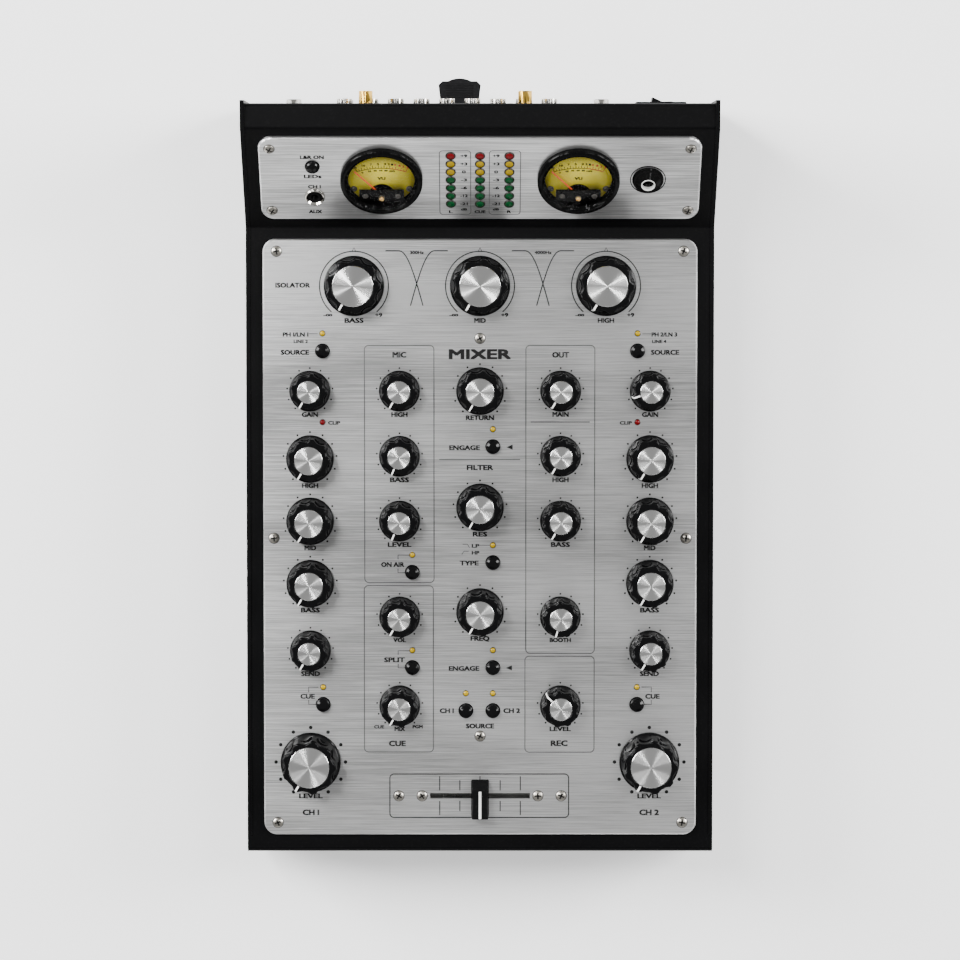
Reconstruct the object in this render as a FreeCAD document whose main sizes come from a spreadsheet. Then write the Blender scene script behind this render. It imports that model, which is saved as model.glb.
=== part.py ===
import FreeCAD, Part

# Two-channel rotary mixer for a desktop or booth, 254 mm wide.
#
# Frame: +X to the operator's right, +Y to the rear, +Z up. The origin is the middle of the bounding box, on the
# surface that the feet stand on. Places on the deck are given as a column (X) and a row, which is the distance back
# from the front edge. The meter slope has its own frame: X, the distance up the slope from its fold, and the height
# along its normal. All lengths are in millimetres and angles in degrees.

import os
import re

import Sketcher
from FreeCAD import Placement, Rotation, Vector

SIZES = {
    # case
    "body_width": 254, "body_depth": 406.5, "rear_reach": 422, "foot_height": 5, "foot_radius": 9,
    "deck_top": 58, "sheet": 1.5, "bend_inside": 1, "bend_outside": 2.5, "front_gap": 2, "rear_lip": 8,
    "fold_depth": 341, "slope_length": 70.2, "slope_angle": 42, "panel_recess": 1.5, "wall_top": 54,
    "cheek_thick": 2.2, "cheek_start": 9.3, "cheek_rise": 0.4, "cheek_proud": 1.6,
    # printed aluminium plates
    "plate_thick": 2, "plate_half": 117.8, "plate_front": 9.75, "plate_rear": 334.7, "plate_corner": 7,
    "plate_bevel": 0.7, "meter_plate_low": 7.3, "meter_plate_high": 64.8,
    # deck columns
    "channel_column": 92.35, "side_column": 43.75, "isolator_column": 68.3, "source_column": 85.5,
    "left_button_column": 36.85, "middle_button_column": 7, "monitor_column": 7.7,
    # deck rows, from the front edge
    "isolator_row": 309.3, "gain_row": 252.3, "high_row": 215.4, "mid_row": 181.5, "bass_row": 147.5,
    "send_row": 110.8, "level_row": 49.6, "side_high_row": 216.9, "side_bass_row": 181.6, "volume_row": 129.35,
    "mix_row": 80.7, "resonance_row": 189.1, "frequency_row": 132, "source_row": 274, "on_air_row": 153.5,
    "split_row": 101.4, "cue_row": 81.2, "return_row": 222, "type_row": 158.8, "monitor_row": 77.8,
    "clip_row": 235.3, "led_offset": 9.5, "fader_row": 31,
    # plate screws
    "screw_column": 110.3, "screw_column_mid": 112, "screw_rear": 328, "screw_mid": 172.1, "screw_front": 16.4,
    "screw_centre_rear": 280.8, "screw_centre_front": 63.8, "meter_screw_low": 14, "meter_screw_high": 57.5,
    "screw_head_radius": 2.8, "screw_head_high": 1.7, "screw_radius": 1.5, "screw_long": 7, "screw_hole": 1.6,
    # rotary controls
    "small_radius": 11.1, "small_cap": 6.1, "small_high": 18.5,
    "medium_radius": 12.95, "medium_cap": 7.6, "medium_high": 20.5,
    "large_radius": 16.35, "large_cap": 11, "large_high": 23,
    "knob_gap": 0.8, "skirt_high": 3, "hollow_high": 4.2, "hollow_radius": 6.6, "cap_thick": 1, "cap_proud": 0.2,
    "flute_count": 9, "shaft_radius": 3, "shaft_low": 14, "shaft_high": 13, "hub_fit": 0.02,
    "bushing_radius": 3.5, "bushing_bore": 3.1, "bushing_high": 3, "nut_radius": 5.2, "nut_high": 2,
    "pot_side": 12, "pot_top": 7, "shaft_hole": 3.7,
    # push buttons
    "button_radius": 3.7, "button_high": 5.5, "low_button_high": 3, "button_dome": 1.6, "button_hole": 4.1,
    "flange_radius": 4.8, "flange_high": 1.2, "flange_drop": 4.3, "stem_radius": 1.6, "stem_low": 12,
    "switch_side": 8, "switch_top": 9, "switch_well": 2, "well_low": 15,
    # indicators
    "led_radius": 1.5, "led_high": 1, "led_rim": 1.9, "led_hole": 1.6, "ladder_led": 2.5, "ladder_hole": 2.6,
    "ladder_column": 15.65, "ladder_top": 52.8, "ladder_pitch": 5.66, "ladder_rows": 7, "lead_half": 0.25,
    # crossfader
    "fader_half_slot": 27.25, "fader_slot_half": 1.5, "fader_cap_half": 5,
    "fader_cap_length": 20, "fader_cap_high": 14, "fader_waist": 1.3, "lever_half": 2, "lever_thick": 0.8,
    "fader_frame_half": 48, "fader_frame_side": 7, "fader_frame_top": 3.6, "fader_frame_low": 14.5,
    "fader_screw_inner": 31.6, "fader_screw_outer": 44.3,
    # meters, in the slope frame
    "meter_column": 52.7, "meter_height": 36, "meter_hole": 19.5, "bezel_radius": 22, "bezel_inside": 19.2,
    "bezel_high": 4, "can_radius": 19, "can_inside": 18, "can_deep": 11, "dial_face": 1, "dial_thick": 0.8,
    "dome_radius": 6.6, "dome_drop": 10.6, "dome_high": 0.6, "pivot_drop": 11, "mask_drop": 13.8, "mask_high": 2,
    "bar_half": 12, "bar_top": 6.2, "bar_low": 13.3, "bar_height": 2.9, "bar_thick": 1.2, "needle_length": 22,
    "needle_half": 0.35, "needle_height": 1.9, "needle_thick": 0.3, "needle_rest": 41, "needle_hub": 1.4,
    "lens_height": 4.6, "lens_thick": 1,
    # sockets on the slope
    "leds_button_column": 89.4, "leds_button_height": 45.2, "aux_column": 88.7, "aux_height": 23.9, "aux_bore": 1.8,
    "aux_nut": 4.9, "aux_deep": 14, "phones_column": 89.8, "phones_height": 36, "phones_bore": 3.25,
    "phones_nut": 7.75, "phones_deep": 23, "socket_nut_high": 2.2, "aux_body": 3, "phones_body": 5.5,
    # sockets on the rear panel
    "rca_column": 72.5, "rca_pitch": 13.7, "rca_count": 9, "rca_low": 62, "rca_high": 80, "rca_radius": 4.15,
    "rca_reach": 4.6, "rca_disc": 5.8, "rca_disc_thick": 0.7, "rca_contact": 1.6, "rca_body_long": 12,
    "output_left": 100, "output_right": 65.2, "output_height": 71, "output_barrel": 4.15, "output_reach": 4.4,
    "output_nut": 6.4, "output_nut_high": 1.3,
    "output_body": 8, "output_long": 21, "ground_left": 60.8, "ground_right": 24, "ground_height": 91.3,
    "ground_radius": 3.7, "ground_reach": 8.3, "ground_post": 2,
    "mic_column": 11.1, "mic_height": 27, "mic_radius": 12, "mic_flange": 13.2, "mic_flange_thick": 2,
    "mic_bore": 9.5, "mic_deep": 15, "mic_long": 24, "tab_half": 11.5, "tab_root_half": 10.2, "tab_reach": 17,
    "tab_thick": 3, "tab_gap": 0.4,
    "power_column": 97.3, "power_height": 50, "power_half": 13.4, "power_half_high": 25, "power_reach": 3.2,
    "inlet_half": 11.2, "inlet_half_high": 7.4, "inlet_drop": 12, "inlet_deep": 15, "inlet_pin": 10.5,
    "power_body": 12, "power_body_high": 23, "power_body_long": 17, "rocker_rise": 12.5, "rocker_half": 5.5,
    "rocker_half_high": 8.5, "rocker_tilt": 12, "rocker_pivot": 2.5, "rocker_pin": 1.5, "rocker_window": 7,
    # boards
    "board_top": 44, "board_thick": 1.6, "board_half": 112, "board_front": 14, "board_rear": 332,
    "standoff_radius": 3,
}

doc = FreeCAD.newDocument("mixer")
sheet = doc.addObject("Spreadsheet::Sheet", "Sizes")
for row, (alias, size) in enumerate(SIZES.items(), start=1):
    sheet.set(f"A{row}", alias)
    sheet.set(f"B{row}", str(size))
    sheet.setAlias(f"B{row}", alias)
doc.recompute()

FRONT = "-rear_reach / 2"
REAR = "(body_depth - rear_reach / 2)"
PANEL = "(body_depth - panel_recess - rear_reach / 2)"
FOLD = "(fold_depth - rear_reach / 2)"
RIDGE = "(fold_depth + slope_length * cos(slope_angle) - rear_reach / 2)"
REAR_TOP = "(deck_top + slope_length * sin(slope_angle))"
PLATE_TOP = "(deck_top + plate_thick)"
nodes = []


# --- helpers: every size is an expression on the sheet ----------------------------------------------------------


def full(expression):
    """The expression with each name of the sheet written as Sizes.name."""
    return re.sub(r"[a-z_]+", lambda m: "Sizes." + m[0] if m[0] in SIZES else m[0], str(expression))


def number(expression):
    """The expression's present value."""
    found = sheet.evalExpression(full(expression))
    return float(getattr(found, "Value", found))


def bind(item, **expressions):
    """Ties properties to the sheet. A double underscore stands for a dot, as in Placement__Base__x."""
    for name, expression in expressions.items():
        item.setExpression(name.replace("__", "."), full(expression))
    return item


def at(item, x="0", y="0", z="0", turn=None, axis=(0, 0, 1)):
    """Places an item, turned by an angle about an axis through its own origin."""
    item.Placement = Placement(
        Vector(number(x), number(y), number(z)), Rotation(Vector(*axis), number(turn) if turn else 0)
    )
    bind(item, Placement__Base__x=x, Placement__Base__y=y, Placement__Base__z=z)
    if turn:
        bind(item, Placement__Rotation__Angle=turn)
    return item


def on_slope(item):
    """Moves an item from the slope's own frame on to the slope."""
    return at(item, y=FOLD, z="deck_top", turn="slope_angle", axis=(1, 0, 0))


def block(name, x, y, z):
    """A box between two expressions along each axis."""
    item = doc.addObject("Part::Box", name)
    bind(item, Length=f"({x[1]}) - ({x[0]})", Width=f"({y[1]}) - ({y[0]})", Height=f"({z[1]}) - ({z[0]})")
    return at(item, x[0], y[0], z[0])


def rod(name, radius, low, high, x="0", y="0"):
    """An upright cylinder between two heights."""
    item = doc.addObject("Part::Cylinder", name)
    bind(item, Radius=radius, Height=f"({high}) - ({low})")
    return at(item, x, y, low)


def rear_rod(name, radius, x, z, inner, outer):
    """A cylinder through the rear panel, from inner to outer, both measured outwards from the panel's face."""
    item = doc.addObject("Part::Cylinder", name)
    bind(item, Radius=radius, Height=f"({outer}) - ({inner})")
    return at(item, x, f"{PANEL} + ({inner})", z, turn="-90", axis=(1, 0, 0))


def cone(name, low_radius, high_radius, low, high, x="0", y="0"):
    item = doc.addObject("Part::Cone", name)
    bind(item, Radius1=low_radius, Radius2=high_radius, Height=f"({high}) - ({low})")
    return at(item, x, y, low)


def joined(name, *items):
    result = doc.addObject("Part::MultiFuse", name)
    result.Shapes = list(items)
    return result


def group(name, items):
    result = doc.addObject("Part::Compound", name)
    result.Links = list(items)
    return result


def cut(name, base, *tools):
    result = doc.addObject("Part::Cut", name)
    result.Base = base
    result.Tool = tools[0] if len(tools) == 1 else group(name + "_tools", tools)
    return result


def shared(name, lower, upper):
    result = doc.addObject("Part::Common", name)
    result.Base, result.Tool = lower, upper
    return result


def node(name, item):
    """Makes an item one of the mixer's sub-parts."""
    item.Label = name
    nodes.append(item)
    return item


def body(name):
    return doc.addObject("PartDesign::Body", name)


def sketch(owner, plane, name, height=None):
    """A sketch on one of the body's own planes, raised by height along the plane's normal."""
    drawing = owner.newObject("Sketcher::SketchObject", name)
    flat = next(f for f in owner.Origin.OriginFeatures if f.Role == plane)
    drawing.AttachmentSupport = (flat, [""])
    drawing.MapMode = "FlatFace"
    if height:
        bind(drawing, AttachmentOffset__Base__z=height)
    return drawing


def pin_down(drawing, curve, end, place):
    """Ties one point of a sketch to its X and Y expressions."""
    for kind, expression in zip(("DistanceX", "DistanceY"), place):
        index = drawing.addConstraint(Sketcher.Constraint(kind, -1, 1, curve, end, number(expression)))
        drawing.setExpression(f"Constraints[{index}]", full(expression))


def outline(drawing, *points):
    """A closed polygon with its corners at the given X and Y expressions."""
    corners = [Vector(number(x), number(y), 0) for x, y in points]
    first = drawing.GeometryCount
    count = len(corners)
    drawing.addGeometry([Part.LineSegment(corners[i], corners[(i + 1) % count]) for i in range(count)])
    drawing.addConstraint(
        [Sketcher.Constraint("Coincident", first + i, 2, first + (i + 1) % count, 1) for i in range(count)]
    )
    for i, point in enumerate(points):
        pin_down(drawing, first + i, 1, point)


def oblong(drawing, x, y):
    """A rectangle between two expressions along each axis."""
    outline(drawing, (x[0], y[0]), (x[1], y[0]), (x[1], y[1]), (x[0], y[1]))


def circle(drawing, x, y, radius):
    index = drawing.addGeometry(Part.Circle(Vector(number(x), number(y), 0), Vector(0, 0, 1), number(radius)))
    pin_down(drawing, index, 3, (x, y))
    bound = drawing.addConstraint(Sketcher.Constraint("Radius", index, number(radius)))
    drawing.setExpression(f"Constraints[{bound}]", full(radius))


def pad(owner, drawing, length, middle=False):
    feature = owner.newObject("PartDesign::Pad", drawing.Name + "_pad")
    feature.Profile = drawing
    feature.SideType = "Symmetric" if middle else "One side"
    bind(feature, Length=length)
    doc.recompute()
    return feature


def pocket(owner, drawing, upward=False):
    """Cuts a sketch's shape right through, and stops if nothing was cut."""
    before = owner.Shape.Volume
    feature = owner.newObject("PartDesign::Pocket", drawing.Name + "_pocket")
    feature.Profile = drawing
    feature.Type = "ThroughAll"
    feature.Reversed = upward
    doc.recompute()
    if owner.Shape.Volume > before - 1e-6:
        raise RuntimeError(f"{feature.Name} cuts nothing")
    return feature


def turned(owner, drawing):
    """Turns a half profile drawn in the XZ plane about Z."""
    feature = owner.newObject("PartDesign::Revolution", drawing.Name + "_turned")
    feature.Profile = drawing
    feature.ReferenceAxis = (drawing, ["V_Axis"])
    feature.Angle = 360
    doc.recompute()
    return feature


def edges(feature, chosen):
    """The names of the feature's edges whose end points all satisfy a test."""
    return [
        f"Edge{i}"
        for i, edge in enumerate(feature.Shape.Edges, start=1)
        if all(chosen(v.Point) for v in edge.Vertexes)
    ]


def dressed(owner, kind, feature, names, size):
    """A fillet or a chamfer on named edges of a body's last feature."""
    result = owner.newObject("PartDesign::" + kind, feature.Name + "_" + kind.lower())
    result.Base = (feature, names)
    bind(result, **{"Radius" if kind == "Fillet" else "Size": size})
    doc.recompute()
    return result


def near(a, b):
    return abs(a - b) < 1e-4


def deck(row):
    """A deck row as a Y expression."""
    return f"({row} - rear_reach / 2)"


# --- layout ------------------------------------------------------------------------------------------------------

# node, size, column, row, pointer's angle clockwise from straight back
KNOBS = [
    ("knob_isolator_bass", "large", "-isolator_column", "isolator_row", -150),
    ("knob_isolator_mid", "large", "0", "isolator_row", -150),
    ("knob_isolator_high", "large", "isolator_column", "isolator_row", -150),
]
for channel, side, gain_angle in (("channel_1", "-", -150), ("channel_2", "", -108)):
    column = side + "channel_column"
    KNOBS += [
        (f"knob_{channel}_gain", "small", column, "gain_row", gain_angle),
        (f"knob_{channel}_high", "medium", column, "high_row", -150),
        (f"knob_{channel}_mid", "medium", column, "mid_row", -150),
        (f"knob_{channel}_bass", "medium", column, "bass_row", -150),
        (f"knob_{channel}_send", "small", column, "send_row", -150),
        (f"knob_{channel}_level", "large", column, "level_row", -150),
    ]
KNOBS += [
    ("knob_microphone_high", "small", "-side_column", "gain_row", -150),
    ("knob_microphone_bass", "small", "-side_column", "side_high_row", -157),
    ("knob_microphone_level", "small", "-side_column", "side_bass_row", -157),
    ("knob_cue_volume", "small", "-side_column", "volume_row", -150),
    ("knob_cue_mix", "small", "-side_column", "mix_row", -150),
    ("knob_return", "medium", "0", "gain_row", -150),
    ("knob_filter_resonance", "medium", "0", "resonance_row", -150),
    ("knob_filter_frequency", "medium", "0", "frequency_row", -150),
    ("knob_main", "small", "side_column", "gain_row", -150),
    ("knob_output_high", "small", "side_column", "side_high_row", -150),
    ("knob_output_bass", "small", "side_column", "side_bass_row", -150),
    ("knob_booth", "small", "side_column", "volume_row", -163),
    ("knob_record_level", "small", "side_column", "mix_row", -47),
]

# node, column, row
BUTTONS = [
    ("button_channel_1_source", "-source_column", "source_row"),
    ("button_channel_2_source", "source_column", "source_row"),
    ("button_on_air", "-left_button_column", "on_air_row"),
    ("button_split_cue", "-left_button_column", "split_row"),
    ("button_channel_1_cue", "-source_column", "cue_row"),
    ("button_channel_2_cue", "source_column", "cue_row"),
    ("button_return_engage", "middle_button_column", "return_row"),
    ("button_filter_type", "middle_button_column", "type_row"),
    ("button_filter_engage", "middle_button_column", "split_row"),
    ("button_monitor_channel_1", "-monitor_column", "monitor_row"),
    ("button_monitor_channel_2", "middle_button_column", "monitor_row"),
]

# every deck button has an indicator behind it, and each channel has a clip indicator
LEDS = [(x, f"({row} + led_offset)") for _, x, row in BUTTONS]
LEDS += [("-source_column", "clip_row"), ("source_column", "clip_row")]

PLATE_SCREWS = [(side + "screw_column", row) for side in ("-", "") for row in ("screw_rear", "screw_front")]
PLATE_SCREWS += [("-screw_column_mid", "screw_mid"), ("screw_column_mid", "screw_mid")]
PLATE_SCREWS += [("0", "screw_centre_rear"), ("0", "screw_centre_front")]
FADER_SCREWS = [(side + "fader_screw_" + which, "fader_row") for side in ("-", "") for which in ("inner", "outer")]
METER_SCREWS = [(side + "screw_column_mid", "meter_screw_" + end) for side in ("-", "") for end in ("low", "high")]

METERS = [("left", "-meter_column"), ("right", "meter_column")]
LADDER = [
    (f"({column} * ladder_column)", f"(ladder_top - {step} * ladder_pitch)")
    for column in (-1, 0, 1)
    for step in range(SIZES["ladder_rows"])
]
RCAS = [
    (f"({i} * rca_pitch - rca_column)", "rca_" + row) for i in range(SIZES["rca_count"]) for row in ("low", "high")
]
OUTPUTS = [("-output_left", "output_height"), ("output_right", "output_height")]
GROUNDS = [("-ground_left", "ground_height"), ("ground_right", "ground_height")]


def deck_holes(drawing):
    """Everything that comes up through the deck, through both the cover and its plate."""
    for _, _, x, row, _ in KNOBS:
        circle(drawing, x, deck(row), "shaft_hole")
    for _, x, row in BUTTONS:
        circle(drawing, x, deck(row), "button_hole")
    for x, row in LEDS:
        circle(drawing, x, deck(row), "led_hole")
    for x, row in PLATE_SCREWS + FADER_SCREWS:
        circle(drawing, x, deck(row), "screw_hole")
    oblong(
        drawing,
        ("-fader_half_slot", "fader_half_slot"),
        (deck("fader_row") + " - fader_slot_half", deck("fader_row") + " + fader_slot_half"),
    )


def slope_holes(drawing):
    """Everything that comes up through the meter slope, in the slope's frame."""
    for _, x in METERS:
        circle(drawing, x, "meter_height", "meter_hole")
    for x, height in LADDER:
        circle(drawing, x, height, "ladder_hole")
    for x, height in METER_SCREWS:
        circle(drawing, x, height, "screw_hole")
    circle(drawing, "-leds_button_column", "leds_button_height", "button_hole")
    circle(drawing, "-aux_column", "aux_height", "aux_body + 0.1")
    circle(drawing, "phones_column", "phones_height", "phones_body + 0.1")


# --- case --------------------------------------------------------------------------------------------------------


def make_top_cover():
    """Folded steel cover: front lip, deck, meter slope, top strip and a short rear lip."""
    cover = body("cover")
    profile = sketch(cover, "YZ_Plane", "cover_profile")
    inset = "sheet * tan(slope_angle / 2)"
    lip_low, front_low = f"{REAR_TOP} - rear_lip", "foot_height + front_gap"
    outline(
        profile,
        (FRONT, front_low), (FRONT, "deck_top"), (FOLD, "deck_top"), (RIDGE, REAR_TOP), (REAR, REAR_TOP),
        (REAR, lip_low), (f"{REAR} - sheet", lip_low), (f"{REAR} - sheet", f"{REAR_TOP} - sheet"),
        (f"{RIDGE} + {inset}", f"{REAR_TOP} - sheet"), (f"{FOLD} + {inset}", "deck_top - sheet"),
        (f"{FRONT} + sheet", "deck_top - sheet"), (f"{FRONT} + sheet", front_low),
    )
    folded = pad(cover, profile, "body_width", middle=True)

    top, rear_top, skin = number("deck_top"), number(REAR_TOP), number("sheet")
    convex = [(number(FRONT), top), (number(RIDGE), rear_top), (number(REAR), rear_top)]
    convex.append((number(FOLD) + number(inset), top - skin))
    hollow = [(number(FRONT) + skin, top - skin), (number(RIDGE) + number(inset), rear_top - skin)]
    hollow += [(number(REAR) - skin, rear_top - skin), (number(FOLD), top)]
    for corners, radius in ((convex, "bend_outside"), (hollow, "bend_inside")):
        for y, z in corners:
            bend = edges(folded, lambda p, y=y, z=z: near(p.y, y) and near(p.z, z))
            folded = dressed(cover, "Fillet", folded, bend, radius)

    sides = sketch(cover, "XY_Plane", "cover_sides", f"{REAR_TOP} + 1")
    for sign in ("-", ""):
        near_edge, far_edge = f"{sign}(body_width / 2 - cheek_thick - 0.1)", f"{sign}(body_width / 2 + 1)"
        oblong(sides, (near_edge, far_edge), (deck("cheek_start - 0.1"), f"{REAR} + 1"))
    pocket(cover, sides)

    holes = sketch(cover, "XY_Plane", "cover_deck_holes", "deck_top + 1")
    deck_holes(holes)
    pocket(cover, holes)

    openings = sketch(cover, "XY_Plane", "cover_slope_holes")
    openings.AttachmentOffset = Placement(
        Vector(0, number(FOLD), number("deck_top")), Rotation(Vector(1, 0, 0), number("slope_angle"))
    )
    bind(
        openings, AttachmentOffset__Base__y=FOLD, AttachmentOffset__Base__z="deck_top",
        AttachmentOffset__Rotation__Angle="slope_angle",
    )
    slope_holes(openings)
    before = cover.Shape.Volume
    feature = cover.newObject("PartDesign::Pocket", "cover_slope_pocket")
    feature.Profile = openings
    feature.SideType = "Symmetric"
    bind(feature, Length="4 * sheet")
    doc.recompute()
    if cover.Shape.Volume > before - 1:
        raise RuntimeError("the slope's holes cut nothing")
    returns = [
        block(f"cover_return_{side}", (outer, f"{outer} + sheet"), (f"{FRONT} + 1.2", deck("cheek_start - 0.1")),
              (front_low, "deck_top - 1.2"))
        for side, outer in (("left", "-body_width / 2"), ("right", "body_width / 2 - sheet"))
    ]
    node("top_cover", joined("cover_with_returns", cover, *returns))


def make_base_pan():
    """Folded steel tray: floor, low side walls and the rear panel with its socket holes."""
    inside = "body_width / 2 - cheek_thick - 0.1"
    front_face, floor = f"{FRONT} + sheet + 0.1", ("foot_height", "foot_height + sheet")
    sheets = [
        block("pan_floor", (f"-({inside})", inside), (front_face, PANEL), floor),
        block("pan_rear", (f"-({inside})", inside), (f"{PANEL} - sheet", PANEL),
              ("foot_height", f"{REAR_TOP} - sheet - bend_inside - 0.2")),
    ]
    for sign in ("-", ""):
        wall = (f"-({inside})", f"-({inside}) + sheet") if sign else (f"{inside} - sheet", inside)
        sheets.append(block(f"pan_wall{sign.replace('-', '_left')}", wall, (front_face, PANEL),
                            ("foot_height", "wall_top")))
    tools = [rear_rod(f"rca_hole_{i}", "rca_radius + 0.2", x, z, "-3", "3") for i, (x, z) in enumerate(RCAS)]
    tools += [rear_rod(f"output_hole_{i}", "output_barrel + 0.15", x, z, "-3", "3") for i, (x, z) in enumerate(OUTPUTS)]
    tools += [rear_rod(f"ground_hole_{i}", "ground_post + 0.2", x, z, "-3", "3") for i, (x, z) in enumerate(GROUNDS)]
    tools.append(rear_rod("mic_hole", "mic_radius + 0.1", "-mic_column", "mic_height", "-3", "3"))
    tools.append(block(
        "power_cutout", ("power_column - power_body - 0.1", "power_column + power_body + 0.1"),
        (f"{PANEL} - 3", f"{PANEL} + 3"),
        ("power_height - power_body_high - 0.1", "power_height + power_body_high + 0.1"),
    ))
    node("base_pan", cut("pan", joined("pan_sheets", *sheets), *tools))


def make_side_cheeks():
    """A flat steel cheek screwed to each side, standing slightly proud of the cover."""
    plates = []
    for which in ("left", "right"):
        cheek = body("cheek_" + which)
        profile = sketch(cheek, "YZ_Plane", f"cheek_{which}_profile")
        start, rear = deck("cheek_start"), f"{REAR} + cheek_proud"
        outline(
            profile,
            (start, "foot_height"), (start, "deck_top + cheek_rise"), (FOLD, "deck_top + cheek_rise"),
            (RIDGE, f"{REAR_TOP} + cheek_rise"), (rear, f"{REAR_TOP} + cheek_proud"), (rear, "foot_height"),
        )
        flat = pad(cheek, profile, "cheek_thick")
        lowest, back = number("foot_height"), number(rear)
        corners = edges(flat, lambda p: near(p.y, back) or (near(p.z, lowest) and p.y < 0))
        corners = [e for e in corners if near(flat.Shape.getElement(e).Length, number("cheek_thick"))]
        dressed(cheek, "Fillet", flat, corners, "1.2")
        at(cheek, x="-body_width / 2" if which == "left" else "body_width / 2 - cheek_thick")
        plates.append(cheek)
    node("side_cheeks", group("cheeks", plates))


def make_feet():
    """Four screwed rubber feet."""
    feet = []
    for i, (sign, row) in enumerate([(s, r) for s in ("-", "") for r in ("35", "375")]):
        x, y = sign + "98", deck(row)
        puck = cone(f"foot_puck_{i}", "foot_radius - 1", "foot_radius", "0", "foot_height", x, y)
        feet.append(cut(f"foot_{i}", puck, rod(f"foot_screw_well_{i}", "3.2", "-1", "2", x, y)))
    node("rubber_feet", group("feet", feet))


def plate_body(name, low, high, holes, thickness="plate_thick"):
    """A bevelled aluminium plate with rounded corners, between two distances along Y, and its holes."""
    plate = body(name)
    shape = sketch(plate, "XY_Plane", name + "_shape")
    oblong(shape, ("-plate_half", "plate_half"), (low, high))
    flat = pad(plate, shape, thickness)
    half = number("plate_half")
    upright = [
        e for e in edges(flat, lambda p: near(abs(p.x), half))
        if near(flat.Shape.getElement(e).Length, number(thickness))
    ]
    rounded = dressed(plate, "Fillet", flat, upright, "plate_corner")
    rim = edges(rounded, lambda p: near(p.z, number(thickness)))
    dressed(plate, "Chamfer", rounded, rim, "plate_bevel")
    drawing = sketch(plate, "XY_Plane", name + "_holes", "plate_thick + 1")
    holes(drawing)
    pocket(plate, drawing)
    return plate


def make_faceplates():
    """The printed and brushed plates that cover the deck and the meter slope."""
    main = plate_body("deck_plate", deck("plate_front"), deck("plate_rear"), deck_holes)
    node("main_faceplate", at(main, z="deck_top"))
    meter = plate_body("slope_plate", "meter_plate_low", "meter_plate_high", slope_holes)
    node("meter_faceplate", on_slope(meter))


# --- rotary controls ---------------------------------------------------------------------------------------------


def make_knob(size):
    """The moulded body and spun cap of one size of knob. Its height is measured from the plate."""
    radius, cap, high = f"{size}_radius", f"{size}_cap", f"{size}_high"
    moulding = body(f"{size}_knob")
    profile = sketch(moulding, "XZ_Plane", f"{size}_knob_profile")
    recess = f"{high} - cap_thick + cap_proud"
    outline(
        profile,
        ("shaft_radius + hub_fit", "hollow_high"), ("hollow_radius", "hollow_high"), ("hollow_radius", "knob_gap"),
        (f"{radius} - 0.3", "knob_gap"), (radius, "knob_gap + 0.5"), (radius, "skirt_high"),
        (f"{radius} * 0.86", "skirt_high + 2.2"), (f"{radius} * 0.82", f"{high} - 1.6"),
        (f"{radius} * 0.76", high), (f"{cap} + 0.05", high), (f"{cap} + 0.05", recess), ("0", recess),
        ("0", "shaft_high + 0.2"), ("shaft_radius + hub_fit", "shaft_high + 0.2"),
    )
    turned(moulding, profile)
    flute = sketch(moulding, "XY_Plane", f"{size}_knob_flute", "skirt_high + 2.2")
    circle(flute, "0", f"-{radius} * 1.06", f"{radius} * 0.33")
    groove = pocket(moulding, flute, upward=True)
    flutes = moulding.newObject("PartDesign::PolarPattern", f"{size}_knob_flutes")
    flutes.Originals = [groove]
    flutes.Axis = (flute, ["N_Axis"])
    flutes.Angle = 360
    bind(flutes, Occurrences="flute_count")
    moulding.Tip = flutes
    disc = cone(f"{size}_cap", cap, f"{cap} - 0.3", recess, f"{high} + cap_proud")
    shaft = rod(f"{size}_shaft", "shaft_radius", "-shaft_low", "shaft_high")
    return [moulding, disc, shaft]


def make_knobs():
    pieces = {size: make_knob(size) for size in ("small", "medium", "large")}
    for name, size, x, row, angle in KNOBS:
        knob = group(name + "_group", pieces[size])
        node(name, at(knob, x, deck(row), PLATE_TOP, turn=str(-angle)))


def make_potentiometers():
    """A rotary potentiometer under every knob, with its bushing and nut, and the crossfader's slide frame."""
    case = block("pot_case", ("-pot_side / 2", "pot_side / 2"), ("-pot_side / 2", "pot_side / 2"),
                 (f"board_top - {PLATE_TOP}", "-pot_top"))
    threads = rod("pot_bushing", "bushing_radius", "-pot_top", "bushing_high")
    nut = rod("pot_nut", "nut_radius", "0", "nut_high")
    bore = rod("pot_bore", "bushing_bore", "-shaft_low - 0.5", "bushing_high + 1")
    pot = cut("pot", joined("pot_solid", case, threads, nut), bore)
    pots = [
        at(group(f"pot_{i}", [pot]), x, deck(row), PLATE_TOP) for i, (_, _, x, row, _) in enumerate(KNOBS)
    ]

    middle = deck("fader_row")
    sides = (f"{middle} - fader_frame_side", f"{middle} + fader_frame_side")
    inside = (f"{middle} - fader_frame_side + 1.2", f"{middle} + fader_frame_side - 1.2")
    low, top = f"{PLATE_TOP} - fader_frame_low", f"{PLATE_TOP} - fader_frame_top"
    frame = block("fader_box", ("-fader_frame_half", "fader_frame_half"), sides, (low, top))
    hollow = block("fader_hollow", ("-29.6", "29.6"), inside, (f"{low} + 1.2", f"{top} - 1.2"))
    slot = block("fader_slot", ("-fader_half_slot", "fader_half_slot"),
                 (f"{middle} - fader_slot_half", f"{middle} + fader_slot_half"), (f"{top} - 2", f"{top} + 1"))
    threads = [
        rod(f"fader_thread_{i}", "screw_hole", f"{top} - 6", f"{top} + 1", x, deck(row))
        for i, (x, row) in enumerate(FADER_SCREWS)
    ]
    pots.append(cut("fader_frame", frame, hollow, slot, *threads))
    node("potentiometers", group("pots", pots))


# --- push buttons ------------------------------------------------------------------------------------------------


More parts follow.
